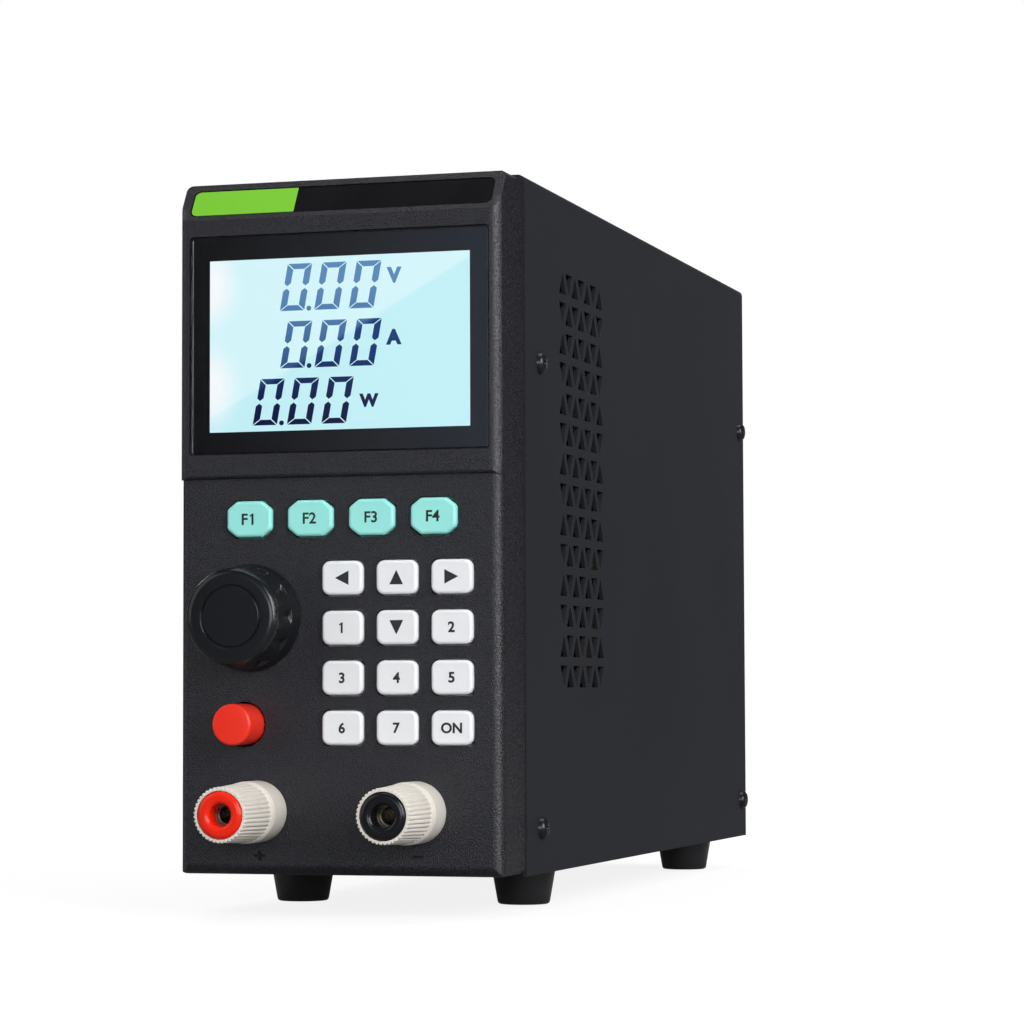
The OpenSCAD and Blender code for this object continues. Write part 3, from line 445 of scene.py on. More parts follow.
def lettering(name, words, height, thick, weight=0.0):
    curve = bpy.data.curves.new(name, "FONT")
    curve.body = words
    curve.align_x = "CENTER"
    curve.align_y = "CENTER"
    curve.offset = weight
    curve.extrude = thick / height / 2
    holder = linked(name, curve)
    mesh = evaluated(holder)
    bpy.data.objects.remove(holder)
    low = min(v.co.y for v in mesh.vertices)
    high = max(v.co.y for v in mesh.vertices)
    left = min(v.co.x for v in mesh.vertices)
    right = max(v.co.x for v in mesh.vertices)
    mesh.transform(Matrix.Translation((-(left + right) / 2, -(low + high) / 2, 0)))
    mesh.transform(Matrix.Scale(height / (high - low), 4))
    return mesh


def joined(name, meshes):
    shape = bmesh.new()
    for mesh in meshes:
        shape.from_mesh(mesh)
    whole = bpy.data.meshes.new(name)
    shape.to_mesh(whole)
    shape.free()
    return whole


# places a shape drawn in X and Y on the front, its height coming out of the panel
def onFront(x, y, z):
    return Matrix.Translation((x, y, z)) @ Matrix.Rotation(pi / 2, 4, "X")


def piece(name, mesh, finish, body=mainBody, stands=()):
    mesh.name = name
    mesh.materials.clear()
    mesh.materials.append(finishes[finish])
    made = linked(name, mesh)
    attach(made, body)
    if stands:
        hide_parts(*stands)
    return made


# geometry trees: named inputs, instances made real and a finish at the end
def shapeTree(name, inputs):
    group = bpy.data.node_groups.new(name, "GeometryNodeTree")
    group.interface.new_socket("Geometry", in_out="OUTPUT", socket_type="NodeSocketGeometry")
    for label, kind in {"Geometry": "Geometry", **inputs, "Finish": "Material"}.items():
        group.interface.new_socket(label, in_out="INPUT", socket_type="NodeSocket" + kind)
    tree = Tree(group)
    entry = group.nodes.new("NodeGroupInput")
    return tree, {socket.name: Wire(tree, socket) for socket in entry.outputs if socket.name}


def closeTree(tree, geometry, finish):
    whole = tree.add("GeometryNodeRealizeInstances", None, {"Geometry": geometry})
    painted = tree.add("GeometryNodeSetMaterial", None, {"Geometry": whole, "Material": finish})
    tree.add("NodeGroupOutput", None, {"Geometry": painted})
    return tree.nodeTree


def shaped(name, group, mesh, inputs):
    holder = linked(name, mesh)
    modifier = holder.modifiers.new("shape", "NODES")
    modifier.node_group = group
    for item in group.interface.items_tree:
        if item.in_out == "INPUT" and item.name in inputs:
            modifier[item.identifier] = inputs[item.name]
    made = evaluated(holder)
    holder.modifiers.remove(modifier)
    bpy.data.objects.remove(holder)
    return made


# flutes or ridges pressed into a turned part: deepest at each crest, fading out at both ends
def fluteTree():
    names = ("Count", "Depth", "Sharpness", "Low", "High", "Fade low", "Fade high", "Inner")
    tree, wires = shapeTree("flutes", dict.fromkeys(names, "Float"))
    x, y, z = tree.apart(tree.add("GeometryNodeInputPosition"))
    radius = (x * x + y * y).maths("SQRT").maths("MAXIMUM", 1e-5)
    wave = ((y.maths("ARCTAN2", x) * wires["Count"]).maths("COSINE") * 0.5 + 0.5) ** wires["Sharpness"]
    start = tree.ease(z, wires["Low"], wires["Low"] + wires["Fade low"])
    stop = 1 - tree.ease(z, wires["High"] - wires["Fade high"], wires["High"])
    pressed = wave * start * stop * (radius > wires["Inner"]) * wires["Depth"] / radius * -1
    offset = tree.add("ShaderNodeCombineXYZ", None, {"X": x * pressed, "Y": y * pressed})
    moved = tree.add("GeometryNodeSetPosition", None, {"Geometry": wires["Geometry"], "Offset": offset})
    return closeTree(tree, moved, wires["Finish"])


# copies of one part on points, each turned to its point's facing
def placeTree():
    tree, wires = shapeTree("placed", {"Part": "Object"})
    facing = tree.add("GeometryNodeInputNamedAttribute", {"data_type": "FLOAT_VECTOR"}, {"Name": "facing"})
    turn = tree.add("FunctionNodeAlignRotationToVector", {"axis": "Z"}, {"Vector": facing})
    part = tree.add("GeometryNodeObjectInfo", None, {"Object": wires["Part"]}, "Geometry")
    copies = tree.add("GeometryNodeInstanceOnPoints", None, {"Points": wires["Geometry"], "Instance": part,
                                                             "Rotation": turn})
    return closeTree(tree, copies, wires["Finish"])


flutes = fluteTree()
placing = placeTree()


def copied(name, part, spots, finish):
    points = bpy.data.meshes.new(name + "Points")
    points.from_pydata([place for place, _ in spots], [], [])
    facing = points.attributes.new("facing", "FLOAT_VECTOR", "POINT")
    for item, (_, way) in zip(facing.data, spots):
        item.vector = way
    source = linked(name + "Part", part)
    mesh = shaped(name, placing, points, {"Part": source, "Finish": finishes[finish]})
    bpy.data.objects.remove(source)
    for stale in [a for a in mesh.attributes if a.name == "facing"]:
        mesh.attributes.remove(stale)
    return mesh


def middleOf(node):
    low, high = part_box(node)
    return (low + high) / 2


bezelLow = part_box("front_bezel")[0]
stepDepth = 1.1 * mm
panelY = bezelLow.y + stepDepth


# push keys: a flange behind the panel, straight sides, a rounded edge and a slightly dished face
keyLook = {"flange": 0.9 * mm, "flangeThick": 1.0 * mm, "flangeBack": 3.8 * mm, "stemR": 1.6 * mm,
           "stemLap": 0.3 * mm, "dish": 0.05 * mm, "dishRings": (0.35, 0.75), "leastCorner": 0.35}
whiteLook = {"grow": 0.0, "corner": 1.8 * mm, "edge": 0.7 * mm, "arrow": 3.15 * mm, "letters": 2.35 * mm,
             "weight": 0.03}
cyanLook = {"grow": 0.2 * mm, "cutX": 2.3 * mm, "cutY": 1.8 * mm, "corner": 1.3 * mm, "edge": 0.75 * mm,
            "letters": 2.5 * mm, "weight": 0.02, "letterLeft": 0.38, "oneRight": 0.36}
legendThick = 0.04 * mm
arrows = {"up": 0, "left": 90, "down": 180, "right": 270}


def keyMesh(name, outline, corner, edge, proud, stemLength):
    look = keyLook
    back = -look["flangeBack"]
    front = back + look["flangeThick"]
    least = corner * look["leastCorner"]
    grown = filleted(inset(outline, -look["flange"]), corner + look["flange"])
    rings = [level(grown, back), level(grown, front), level(filleted(outline, corner), front)]
    for into, rise in bend(0, 0, edge, 0, 90):
        ring = filleted(inset(outline, edge - into), max(corner - edge + into, least))
        rings.append(level(ring, proud - edge + rise))
    for share in look["dishRings"]:
        ring = filleted(inset(outline, edge * (1 + share)), least)
        rings.append(level(ring, proud - look["dish"] * share))
    stemR, stemLow, stemHigh = look["stemR"], back - stemLength, back + look["stemLap"]
    stem = turned(name + "Stem", [(0, stemLow), (stemR, stemLow), (stemR, stemHigh), (0, stemHigh)], 32)
    return joined(name, [loft(name, rings), stem])


def arrowHead(size, turn):
    tips = [Vector((0, size / 2)), Vector((-size / 2, -size / 2)), Vector((size / 2, -size / 2))]
    return [Matrix.Rotation(radians(turn), 2) @ tip for tip in tips]


# a figure one with a flag, because the letter shapes draw it as a bare bar; sizes are shares of its height
figureLook = {"half": 0.095, "flag": ((-0.02, 0.5), (-0.27, 0.32), (-0.22, 0.19)), "under": 0.3}


def figureOne(height):
    half = figureLook["half"]
    bar = [(-half, figureLook["under"]), (-half, -0.5)]
    outline = [(half, -0.5), (half, 0.5), *figureLook["flag"], *bar]
    return [(x * height, y * height) for x, y in outline]


def legendMesh(name, legend, look):
    height = look["letters"]
    if legend in arrows:
        return plates(name, [arrowHead(look["arrow"], arrows[legend])], 0, legendThick)
    if "1" not in legend:
        mesh = lettering(name, legend, height, legendThick, look["weight"])
        mesh.transform(Matrix.Translation((0, 0, legendThick / 2)))
        return mesh
    one = plates(name + "One", [figureOne(height)], 0, legendThick)
    if legend == "1":
        return one
    letter = legendMesh(name + "Letter", legend.replace("1", ""), look)
    letter.transform(Matrix.Translation((-look["letterLeft"] * height, 0, 0)))
    one.transform(Matrix.Translation((look["oneRight"] * height, 0, 0)))
    return joined(name, [letter, one])


def makeKey(node, kind, legend):
    look = cyanLook if kind == "cyan" else whiteLook
    low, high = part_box(node)
    middle = middleOf(node)
    width = high.x - low.x - 2 * keyLook["flange"] + look["grow"]
    height = high.z - low.z - 2 * keyLook["flange"] + look["grow"]
    if kind == "cyan":
        outline = octagon(width, height, look["cutX"], look["cutY"])
    else:
        outline = rectangle(width, height)
    proud = panelY - low.y
    stem = high.y - panelY - keyLook["flangeBack"]
    mesh = keyMesh(node + "Cap", outline, look["corner"], look["edge"], proud, stem)
    mesh.transform(onFront(middle.x, panelY, middle.z))
    piece(node + "Cap", mesh, kind, node, [node])
    mark = legendMesh(node + "Legend", legend, look)
    mark.transform(onFront(middle.x, low.y + keyLook["dish"], middle.z))
    piece(node + "Legend", mark, "legend", node)


whiteLegends = ("left", "up", "right", "1", "down", "2", "3", "4", "5", "6", "7", "ON")
modeKeys = 4
for number, legend in enumerate(whiteLegends, 1):
    makeKey("key_%d" % number, "white", legend)
for number in range(1, modeKeys + 1):
    makeKey("mode_key_%d" % number, "cyan", "F%d" % number)
print("keys made:", len(whiteLegends) + modeKeys)


# knob: flutes that start on a ledge, a rounded front rim and a ring groove in the face
knobLook = {"side": 10.75 * mm, "draft": 0.7 * mm, "ledgeDraft": 0.9, "base": 0.3 * mm, "flare": 2.6 * mm,
            "rim": 1.8 * mm, "grooveOuter": 7.0 * mm, "grooveInner": 6.5 * mm, "grooveDeep": 0.6 * mm,
            "chamfer": 0.1 * mm, "bore": 4.4 * mm, "boreDeep": 2.8 * mm, "flutes": 11,
            "fluteDeep": 0.85 * mm, "fluteFade": 9.0 * mm, "fluteOver": 0.6 * mm, "fluteInner": 0.8,
            "ledge": 3.6 * mm, "crisp": 0.5 * mm, "sharpness": 2.2, "segments": 352}


def makeKnob():
    look = knobLook
    low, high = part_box("knob")
    middle = middleOf("knob")
    tall = high.y - low.y
    skirt = (high.x - low.x) / 2
    side, rim, base, ledge = look["side"], look["rim"], look["base"], look["ledge"]
    outer, inner, chamfer = look["grooveOuter"], look["grooveInner"], look["chamfer"]
    bore, boreDeep = look["bore"], look["boreDeep"]
    deep = tall - look["grooveDeep"]
    profile = [(0, boreDeep), (bore, boreDeep), (bore, 0), (skirt - base, 0)]
    profile += bend(skirt - base, base, base, -90, 0, 4)
    profile += slide(profile[-1], (side + look["draft"], look["flare"]), 3)
    profile += slide(profile[-1], (side + look["draft"] * look["ledgeDraft"], ledge), 2)
    profile += slide(profile[-1], (profile[-1][0], ledge + look["crisp"]), 8)
    profile += slide(profile[-1], (side, tall - rim), 20)
    profile += bend(side - rim, tall - rim, rim, 0, 90, 14)
    profile += [(outer + chamfer, tall), (outer, tall - chamfer), (outer, deep)]
    profile += [(inner, deep), (inner, tall - chamfer), (inner - chamfer, tall), (0, tall)]
    mesh = turned("knobTurned", profile, look["segments"])
    mesh = shaped("knobTurned", flutes, mesh, {
        "Count": float(look["flutes"]), "Depth": look["fluteDeep"], "Sharpness": look["sharpness"],
        "Low": ledge, "Fade low": look["crisp"],
        "High": tall + look["fluteOver"], "Fade high": look["fluteFade"],
        "Inner": side * look["fluteInner"], "Finish": finishes["knob"]})
    mesh.transform(onFront(middle.x, high.y, middle.z))
    piece("knobTurned", settle(mesh), "knob", "knob", ["knob"])


makeKnob()


# power button: a plain round cap with a softly rounded edge, and its stem
buttonLook = {"edge": 0.65 * mm, "capTall": 11.8 * mm, "stemR": 1.7 * mm, "crown": 0.08 * mm,
              "crownAt": 0.55, "crownShare": 0.4}


def makeButton():
    look = buttonLook
    low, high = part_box("power_button")
    middle = middleOf("power_button")
    radius = (high.x - low.x) / 2
    tall = high.y - low.y
    capLow = tall - look["capTall"]
    edge = look["edge"]
    profile = [(0, 0), (look["stemR"], 0), (look["stemR"], capLow), (radius, capLow)]
    profile += slide(profile[-1], (radius, tall - edge), 4)
    profile += bend(radius - edge, tall - edge - look["crown"], edge, 0, 86, 8)
    profile += [(radius * look["crownAt"], tall - look["crown"] * look["crownShare"]), (0, tall)]
    mesh = turned("buttonTurned", profile, 128)
    mesh.transform(onFront(middle.x, high.y, middle.z))
    piece("buttonTurned", mesh, "red", "power_button", ["power_button"])


makeButton()
print("knob and button made")


# binding posts: a fixed collar, a ridged grip and a coloured core with the plug hole
postLook = {"tailR": 4.4 * mm, "headTall": 4.2 * mm, "holeR": 2.45 * mm, "boreR": 3.05 * mm,
            "boreTall": 10.4 * mm, "outerEdge": 1.15 * mm, "innerEdge": 1.0 * mm, "slack": 0.05 * mm}
gripLook = {"nose": 6.0 * mm, "noseEdge": 0.25 * mm, "shoulderUp": 0.45 * mm, "bead": 0.36 * mm,
            "groove": 0.4 * mm, "waistIn": 0.6, "waistSteps": 26, "waistEnd": 0.3 * mm, "ridges": 40,
            "perRidge": 14, "ridgeDeep": 0.28 * mm, "sharpness": 2.0, "ridgeLead": 0.1 * mm,
            "ridgeFade": 0.4 * mm, "ridgeOver": 4 * mm, "overFade": 1 * mm, "ridgeInner": 0.45 * mm}
collarLook = {"edge": 0.7 * mm, "base": 0.2 * mm, "neckR": 4.0 * mm, "studR": 3.0 * mm}


def makeCore(colour, finish):
    look = postLook
    node = colour + "_core"
    low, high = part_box(node)
    middle = middleOf(node)
    radius = (high.x - low.x) / 2
    tall = high.y - low.y
    outer, inner = look["outerEdge"], look["innerEdge"]
    head = tall - look["headTall"]
    profile = [(look["boreR"], 0), (look["tailR"], 0), (look["tailR"], head), (radius, head)]
    profile += bend(radius - outer, tall - outer, outer, 0, 90, 8)
    profile += bend(look["holeR"] + inner, tall - inner, inner, 90, 180, 8)
    profile += [(look["holeR"], look["boreTall"]), (look["boreR"], look["boreTall"])]
    mesh = turned(node + "Turned", profile, 96, True)
    mesh.transform(onFront(middle.x, high.y, middle.z))
    piece(node + "Turned", mesh, finish, node, [node])


def makeGrip(colour):
    look = gripLook
    node = colour + "_grip"
    low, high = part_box(node)
    middle = middleOf(node)
    coreLow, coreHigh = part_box(colour + "_core")
    radius = (high.x - low.x) / 2
    tall = high.y - low.y
    slack = postLook["slack"]
    nose = look["nose"] + slack
    coreR = (coreHigh.x - coreLow.x) / 2 + slack
    shoulder = tall - postLook["headTall"] + look["shoulderUp"]
    boreR = postLook["tailR"] + slack
    bead, groove, edge = look["bead"], look["groove"], look["noseEdge"]
    waistLow = groove + 2 * bead
    waistR = radius - look["waistIn"] * bead
    profile = [(boreR, 0), (radius - 2 * bead, 0), (radius - 2 * bead, groove)]
    profile += bend(radius - bead, groove + bead, bead, -90, 60, 8)
    for i in range(look["waistSteps"] + 1):
        share = i / look["waistSteps"]
        ease = share * share * (3 - 2 * share)
        height = waistLow + (tall - look["waistEnd"] - waistLow) * share
        profile.append((waistR + (nose - waistR) * ease, height))
    profile += bend(nose - edge, tall - edge, edge, 10, 90, 4)
    profile += [(coreR, tall), (coreR, shoulder), (boreR, shoulder)]
    mesh = turned(node + "Turned", profile, look["ridges"] * look["perRidge"], True)
    mesh = shaped(node + "Turned", flutes, mesh, {
        "Count": float(look["ridges"]), "Depth": look["ridgeDeep"], "Sharpness": look["sharpness"],
        "Low": waistLow - look["ridgeLead"], "Fade low": look["ridgeFade"],
        "High": tall + look["ridgeOver"], "Fade high": look["overFade"],
        "Inner": look["nose"] - look["ridgeInner"], "Finish": finishes["ivory"]})
    mesh.transform(onFront(middle.x, high.y, middle.z))
    piece(node + "Turned", settle(mesh, 50), "ivory", node, [node])


def makeCollars():
    look = collarLook
    low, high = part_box("post_collars")
    collarR = (high.z - low.z) / 2
    edge, base = look["edge"], look["base"]
    tall = panelY - low.y
    neck = high.y - panelY
    profile = [(look["studR"], -neck), (look["neckR"], -neck), (look["neckR"], 0), (collarR - base, 0)]
    profile += bend(collarR - base, base, base, -90, 0, 3)
    profile += slide(profile[-1], (collarR, tall - edge), 3)
    profile += bend(collarR - edge, tall - edge, edge, 0, 90, 6)
    profile += [(look["studR"], tall)]
    collar = turned("collar", profile, 128, True)
    studs = [middleOf(colour + "_stud") for colour in ("red", "black")]
    spots = [(Vector((stud.x, panelY, stud.z)), (0, -1, 0)) for stud in studs]
    mesh = copied("postCollars", collar, spots, "ivory")
    piece("postCollars", mesh, "ivory", mainBody, ["post_collars"])


makeCore("red", "coreRed")
makeCore("black", "coreBlack")
makeGrip("red")
makeGrip("black")
makeCollars()


# raised plus and minus under the posts, smoother than the panel around them
markLook = {"long": 2.2 * mm, "bar": 0.5 * mm, "tall": 0.2 * mm, "sunk": 0.1 * mm, "right": 0.4 * mm,
            "below": 9.6 * mm}


def makeMarks():
    arm, half = markLook["long"] / 2, markLook["bar"] / 2
    minus = [(-arm, -half), (arm, -half), (arm, half), (-arm, half)]
    plus = [(-arm, -half), (-half, -half), (-half, -arm), (half, -arm), (half, -half), (arm, -half),
            (arm, half), (half, half), (half, arm), (-half, arm), (-half, half), (-arm, half)]
    for colour, name, outline in (("red", "plusMark", plus), ("black", "minusMark", minus)):
        post = middleOf(colour + "_stud")
        mesh = plates(name, [outline], -markLook["sunk"], markLook["tall"])
        mesh.transform(onFront(post.x + markLook["right"], panelY, post.z - markLook["below"]))
        piece(name, mesh, "mark")


makeMarks()
print("posts made")


# display: a clear pane, a dark printed border behind it, the lit cell and its segments
windowLook = {"corner": 0.6 * mm, "bevel": 0.15 * mm, "thick": 0.85 * mm, "litWide": 60.8 * mm,
              "litTall": 38.4 * mm, "litDrop": 0.2 * mm, "sheet": 0.03 * mm, "printGap": 0.04 * mm,
              "printIn": 0.05 * mm, "cellGap": 0.2 * mm, "cellOver": 1.4 * mm}


def makeWindow():
    look = windowLook
    low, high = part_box("display_window")
    middle = middleOf("display_window")
    edges = rectangle(high.x - low.x, high.z - low.z)
    bevel = look["bevel"]
    rings = [level(filleted(inset(edges, bevel), look["corner"] - bevel), 0),
             level(filleted(edges, look["corner"]), bevel),
             level(filleted(edges, look["corner"]), look["thick"] - bevel),
             level(filleted(inset(edges, bevel), look["corner"] - bevel), look["thick"])]
    pane = loft("windowPane", rings)
    backY = low.y + look["thick"]
    pane.transform(onFront(middle.x, backY, middle.z))
    piece("windowPane", pane, "window", mainBody, ["display_window"])

    sheet = look["sheet"]
    outer = inset(edges, look["printIn"])
    opening = [p - Vector((0, look["litDrop"])) for p in rectangle(look["litWide"], look["litTall"])]
    frameRings = [level(outline, height) for outline, height in
                  ((outer, 0.0), (outer, sheet), (opening, sheet), (opening, 0.0))]
    border = loft("windowBorder", frameRings, True)
    border.transform(onFront(middle.x, backY + look["printGap"] + sheet, middle.z))
    piece("windowBorder", border, "print")

    lit = Vector((middle.x, 0, middle.z - look["litDrop"]))
    finishes["cell"] = cellGlow(lit)
    finishes["segment"] = segmentInk(lit)
    cellY = backY + look["cellGap"]
    cellEdges = rectangle(look["litWide"] + look["cellOver"], look["litTall"] + look["cellOver"])
    cell = plates("litCell", [cellEdges], 0, sheet)
    cell.transform(onFront(lit.x, cellY + sheet, lit.z))
    piece("litCell", cell, "cell")
    return lit, cellY


# the readings: slanted zeros made of six bars with mitred ends, a point and a unit in each row
digitLook = {"places": 3, "wide": 5.75 * mm, "thick": 1.22 * mm, "side": 1.5 * mm, "gap": 0.15 * mm,
             "waistGap": 0.28 * mm, "mitre": 0.4, "slant": 10.4, "pitch": 8.1 * mm, "point": 0.56 * mm,
             "pointAfter": 1.1 * mm, "pointUp": 0.75, "pointSides": 24, "unitWeight": 0.06,
             "ink": 0.03 * mm, "lift": 0.02 * mm}
rowLook = [
    {"left": -13.83 * mm, "low": 7.45 * mm, "tall": 10.45 * mm, "unit": "V", "unitTall": 3.55 * mm,
     "unitX": 12.93 * mm, "unitZ": 14.5 * mm},
    {"left": -13.77 * mm, "low": -5.3 * mm, "tall": 10.4 * mm, "unit": "A", "unitTall": 3.45 * mm,
     "unitX": 12.84 * mm, "unitZ": 0.85 * mm},
    {"left": -20.26 * mm, "low": -17.85 * mm, "tall": 10.3 * mm, "unit": "W", "unitTall": 3.0 * mm,
     "unitX": 7.05 * mm, "unitZ": -12.97 * mm}]


def zeroBars(left, low, tall):
    look = digitLook
    wide, thick, side, gap = look["wide"], look["thick"], look["side"], look["gap"]
    half = tall / 2
    tip = half + look["waistGap"]
    mitre = tip + side * look["mitre"]
    cap = [(gap, tall), (wide - gap, tall), (wide - gap - side, tall - thick), (gap + side, tall - thick)]
    post = [(0, tall - gap), (side, tall - thick - gap), (side, mitre), (side / 2, tip), (0, mitre)]
    bars = [cap, [(x, tall - y) for x, y in cap]]
    for points in (post, [(x, tall - y) for x, y in post]):
        bars += [points, [(wide - x, y) for x, y in points]]
    lean = tan(radians(look["slant"]))
    return [[(left + x + y * lean, low + y) for x, y in bar] for bar in bars]


def makeDigits(lit, cellY):
    look = digitLook
    ink = look["ink"]
    turns = [2 * pi * k / look["pointSides"] for k in range(look["pointSides"])]
    bars = []
    units = []
    for row in rowLook:
        for place in range(look["places"]):
            bars += zeroBars(row["left"] + place * look["pitch"], row["low"], row["tall"])
        pointX = row["left"] + look["wide"] + look["pointAfter"]
        pointZ = row["low"] + look["point"] * look["pointUp"]
        bars.append([(pointX + look["point"] * cos(a), pointZ + look["point"] * sin(a)) for a in turns])
        unit = lettering("unit" + row["unit"], row["unit"], row["unitTall"], ink, look["unitWeight"])
        unit.transform(Matrix.Translation((row["unitX"], row["unitZ"], ink / 2)))
        units.append(unit)
    mesh = joined("displaySegments", [plates("bars", bars, 0, ink)] + units)
    mesh.transform(onFront(lit.x, cellY - look["lift"], lit.z))
    piece("displaySegments", mesh, "segment")


makeDigits(*makeWindow())
print("display made")


# feet: tapered rubber with a rounded tread and the screw's recess
footLook = {"top": 7.4 * mm, "topEdge": 0.3 * mm, "sideOut": 0.08 * mm, "tread": 6.0 * mm,
            "treadOut": 0.05 * mm, "edge": 0.7 * mm, "recess": 3.2 * mm, "recessEdge": 0.3 * mm,
            "seat": 3.5 * mm, "hole": 1.4 * mm}


def footSpots(height):
    low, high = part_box("feet")
    top = footLook["top"]
    return [(Vector((x, y, height)), (0, 0, -1)) for x in (low.x + top, high.x - top)
            for y in (low.y + top, high.y - top)]


def makeFeet():
    look = footLook
    low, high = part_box("feet")
    tall = high.z - low.z
    top, tread, edge = look["top"], look["tread"], look["edge"]
    rim, lip = look["topEdge"], look["recessEdge"]
    profile = [(look["hole"], 0), (top - rim, 0)]
    profile += bend(top - rim, rim, rim, -90, 0, 3)
    profile += slide(profile[-1], (tread + look["sideOut"], tall - edge), 4)
    profile += bend(tread - edge + look["treadOut"], tall - edge, edge, 5, 90, 6)
    profile += bend(look["recess"] + lip, tall - lip, lip, 90, 180, 3)
    profile += [(look["recess"], look["seat"]), (look["hole"], look["seat"])]
    foot = turned("foot", profile, 96, True)
    mesh = copied("feetMoulded", foot, footSpots(high.z), "rubber")
    piece("feetMoulded", mesh, "rubber", mainBody, ["feet"])


makeFeet()


# screws: a pan head with a cross pressed into it and a plain shank; the cross is in shares of the head
screwLook = {"rings": 18, "segments": 64, "cross": 0.56, "crossSoft": 0.12, "arm": 0.15, "armSoft": 0.06,
             "deep": 0.55}
caseScrew = {"headR": 2.5 * mm, "shankR": 1.4 * mm, "long": 6 * mm, "behindFront": 30 * mm, "up": 9.8 * mm}
fanScrew = {"headR": 3.6 * mm, "headTall": 2.2 * mm, "shankR": 2.0 * mm}


def within(limit, reach, soft):
    return min(1, max(0, (limit - reach) / soft))


def screwMesh(name, headR, headTall, shankR, shankLong):
    look = screwLook
    turns = [2 * pi / look["segments"] * k for k in range(look["segments"])]
    rings = [[Vector((shankR * cos(a), shankR * sin(a), height)) for a in turns]
             for height in (-shankLong, 0)]
    for i in range(look["rings"]):
        radius = headR * (1 - i / look["rings"])
        dome = headTall * (1 - (radius / headR) ** 4) ** 0.5
        ring = []
        for a in turns:
            x, y = radius * cos(a), radius * sin(a)
            across, along = sorted((abs(x) / headR, abs(y) / headR))
            inside = within(look["cross"], along, look["crossSoft"])
            inside *= within(look["arm"], across, look["armSoft"])
            ring.append(Vector((x, y, dome - look["deep"] * headTall * inside)))
        rings.append(ring)
    return loft(name, rings)


def makeCaseScrews():
    look = caseScrew
    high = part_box("case_screws")[1]
    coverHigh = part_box("top_cover")[1]
    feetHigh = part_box("feet")[1]
    headR = look["headR"]
    spots = []
    for side in (-1, 1):
        for y in (bezelLow.y + look["behindFront"], high.y - headR):
            for z in (feetHigh.z + look["up"], high.z - headR):
                spots.append((Vector((side * coverHigh.x, y, z)), (side, 0, 0)))
    spots += footSpots(feetHigh.z - footLook["seat"])
    screw = screwMesh("caseScrew", headR, high.x - coverHigh.x, look["shankR"], look["long"])
    mesh = copied("caseScrews", screw, spots, "screw")
    piece("caseScrews", mesh, "screw", mainBody, ["case_screws"])


def makeFanScrews():
    look = fanScrew
    low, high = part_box("fan_screws")
    headR, headTall = look["headR"], look["headTall"]
    spots = [(Vector((x, high.y - headTall, z)), (0, 1, 0)) for x in (low.x + headR, high.x - headR)
             for z in (low.z + headR, high.z - headR)]
    screw = screwMesh("fanScrew", headR, headTall, look["shankR"], high.y - low.y - headTall)
    mesh = copied("fanScrews", screw, spots, "zinc")
    piece("fanScrews", mesh, "zinc", mainBody, ["fan_screws"])


makeCaseScrews()
makeFanScrews()
print("screws and feet made")


# finishes for the pieces that keep their own shape
dressing = {
    "bezel": ["front_bezel"],
    "paint": ["top_cover", "base_chassis", "rear_panel"],
    "strip": ["label_strip"],
    "tab": ["label_tab"],
    "zinc": ["board_screws", "encoder_body", "encoder_shaft", "comm_port"],
    "nylon": ["fan_frame", "fan_rotor"],
    "wire": ["fan_guard", "inlet_pins"],
    "inlet": ["power_inlet", "fuse_drawer"],
    "epoxy": ["key_switches", "power_switch", "power_transistors"],
    "board": ["front_board", "main_board"],
    "sink": ["heat_sink"],
    "sleeve": ["filter_capacitors"],
    "iron": ["transformer_core"],
    "tape": ["transformer_coil"],
    "leadRed": ["red_lead"],
    "leadBlack": ["black_lead"],
    "ribbon": ["ribbon_cable", "lcd_panel"],
    "brass": ["post_nuts", "sink_posts"],
    "nickel": ["red_stud", "black_stud"],
}
for finish, names in dressing.items():
    for name in names:
        for holder in cadNodes[name].material_slots:
            holder.material = finishes[finish]
print("carried nodes dressed")


# stage: a pale floor, a white surround and soft lamps
floorLook = {"half": 4.0, "low": -0.02, "high": -0.0002, "pale": 0.16, "glow": 0.86, "mirrored": 0.05,
             "fadeFrom": 0.30, "fadeTo": 0.85}


def backgroundRays(tree):
    rays = tree.nodeTree.nodes.new("ShaderNodeLightPath").outputs
    mirror = Wire(tree, rays["Is Glossy Ray"]).maths("MAXIMUM", Wire(tree, rays["Is Transmission Ray"]))
    return Wire(tree, rays["Is Camera Ray"]), mirror


def makeFloor():
    look = floorLook
    mesh = plates("floor", [rectangle(2 * look["half"], 2 * look["half"])], look["low"], look["high"])
    floor = linked("floor", mesh)
    finish, tree = finishTree("floorPale")
    camera, mirror = backgroundRays(tree)
    seen = camera.maths("MAXIMUM", mirror * look["mirrored"])
    away = tree.add("ShaderNodeVectorMath", {"operation": "LENGTH"}, {0: tree.spot()}, "Value")
    fade = tree.ease(away, look["fadeFrom"], look["fadeTo"])
    pale = tree.add("ShaderNodeBsdfDiffuse", None, {"Color": (look["pale"], look["pale"], look["pale"], 1.0)})
    glow = tree.add("ShaderNodeEmission", None, {"Strength": seen * look["glow"]})
    near = tree.add("ShaderNodeAddShader", None, {0: pale, 1: glow})
    far = tree.add("ShaderNodeEmission", None, {"Strength": seen})
    blend = tree.add("ShaderNodeMixShader", None, {0: fade, 1: near, 2: far})
    tree.add("ShaderNodeOutputMaterial", None, {"Surface": blend})
    mesh.materials.append(finish)


# what mirrors and glass see: the white backdrop behind, a bluish glow in front and a dim room
skyLook = {"fill": 0.30, "room": 0.05, "backdrop": (-0.29, 0.95, 0.06), "backdropEdge": (0.93, 0.985),
           "front": (0.05, -0.99, 0.15), "frontEdge": (0.90, 0.965), "frontGlow": 0.6,
           "frontTint": (0.48, 0.64, 1.0, 1.0)}


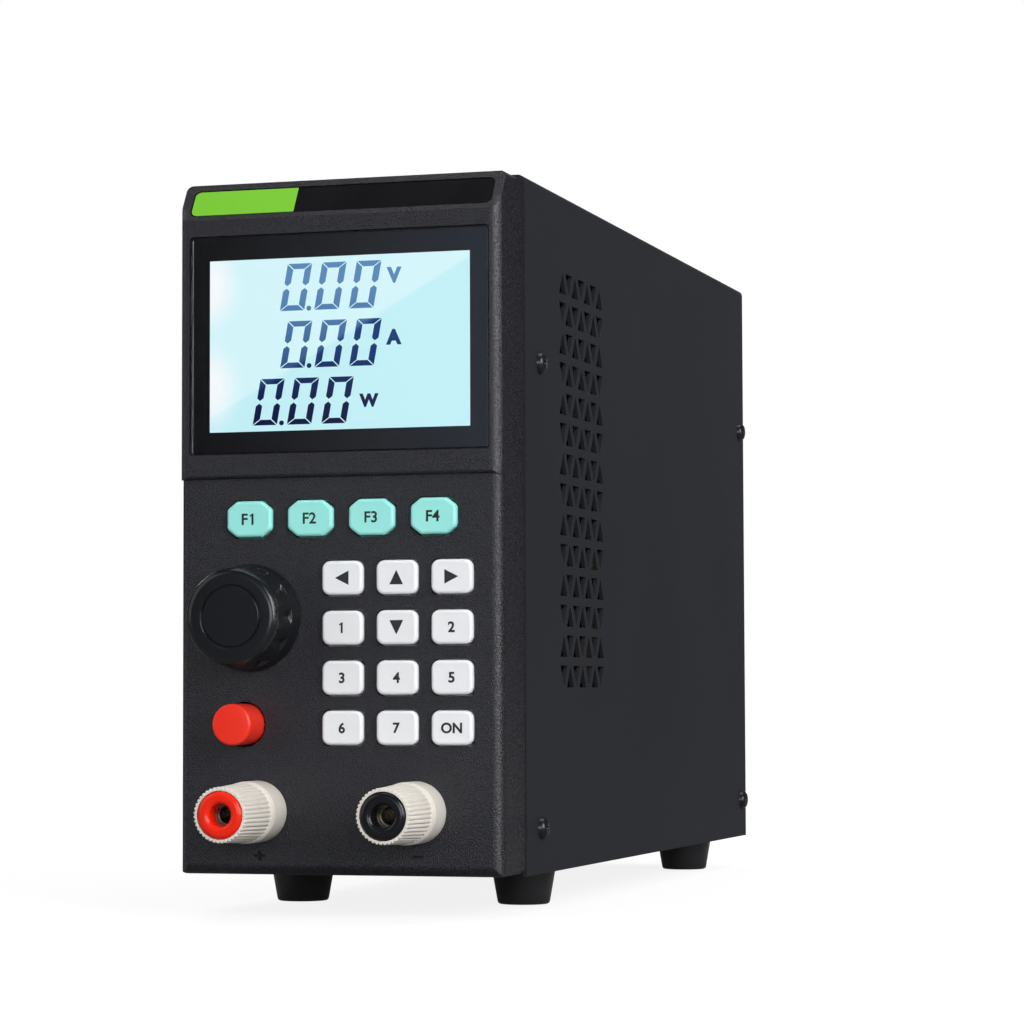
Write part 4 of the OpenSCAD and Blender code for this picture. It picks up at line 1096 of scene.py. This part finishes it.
def makeSurround():
    look = skyLook
    world = bpy.data.worlds.new("surround")
    scene.world = world
    world.use_nodes = True
    world.node_tree.nodes.clear()
    tree = Tree(world.node_tree)
    camera, mirror = backgroundRays(tree)
    way = tree.add("ShaderNodeTexCoord", out="Generated")

    def towards(place, edge):
        aim = Vector(place).normalized()
        along = tree.add("ShaderNodeVectorMath", {"operation": "DOT_PRODUCT"}, {0: way, 1: aim}, "Value")
        return tree.ease(along, *edge)

    behind = towards(look["backdrop"], look["backdropEdge"])
    ahead = towards(look["front"], look["frontEdge"]) * mirror
    mirrored = behind * (1 - look["room"]) + ahead * look["frontGlow"] + look["room"]
    lit = mirror * mirrored + (1 - mirror) * look["fill"]
    glow = tree.add("ShaderNodeBackground", None, {
        "Color": tree.mix(ahead, (1.0, 1.0, 1.0, 1.0), look["frontTint"]),
        "Strength": camera + (1 - camera) * lit})
    tree.add("ShaderNodeOutputWorld", None, {"Surface": glow})


lamps = {
    "rightBox": {"place": (0.78, -0.72, 0.42), "aim": (0.0, -0.05, 0.09), "size": (0.35, 0.7), "watts": 7.8},
    "edgeBox": {"place": (0.98, -0.36, 0.20), "aim": (0.0, -0.08, 0.09), "size": (0.05, 1.0), "watts": 3.0},
    "frontBox": {"place": (0.25, -1.25, 0.08), "aim": (0.0, -0.05, 0.09), "size": (0.6, 0.5), "watts": 4.4},
    "leftBox": {"place": (-1.15, -0.75, 0.55), "aim": (0.0, -0.05, 0.09), "size": (1.2, 1.4), "watts": 4.6},
    "topBox": {"place": (0.0, 0.15, 1.25), "aim": (0.0, 0.0, 0.08), "size": (0.9, 0.9), "watts": 6.0},
    "sideBox": {"place": (0.30, 0.30, 0.20), "aim": (0.0, 0.10, 0.09), "size": (0.2, 0.2), "watts": 0.7},
    "rearBox": {"place": (-0.7, 1.15, 0.8), "aim": (0.0, 0.05, 0.08), "size": (0.9, 0.6), "watts": 8.0},
}
unmirrored = "sideBox"


def makeLamps():
    for name, look in lamps.items():
        data = bpy.data.lights.new(name, "AREA")
        data.shape = "RECTANGLE"
        data.size, data.size_y = look["size"]
        data.energy = look["watts"]
        lamp = linked(name, data)
        lamp.location = look["place"]
        lamp.visible_camera = False
        lamp.visible_glossy = name != unmirrored
        lamp.rotation_euler = (Vector(look["aim"]) - lamp.location).to_track_quat("-Z", "Y").to_euler()


shot = {"lens": 114.92, "sensor": 36.0, "near": 0.05, "place": (0.24181, -0.78712, 0.04777),
        "aim": (0.02761, -0.06960, 0.08999), "roll": -0.19}


def makeCamera():
    data = bpy.data.cameras.new("shot")
    data.lens = shot["lens"]
    data.sensor_width = shot["sensor"]
    data.clip_start = shot["near"]
    camera = linked("shot", data)
    place = Vector(shot["place"])
    facing = (Vector(shot["aim"]) - place).to_track_quat("-Z", "Y").to_matrix().to_4x4()
    camera.matrix_world = Matrix.Translation(place) @ facing @ Matrix.Rotation(radians(shot["roll"]), 4, "Z")
    scene.camera = camera


makeFloor()
makeSurround()
makeLamps()
makeCamera()
print("stage made")

bpy.context.view_layer.update()
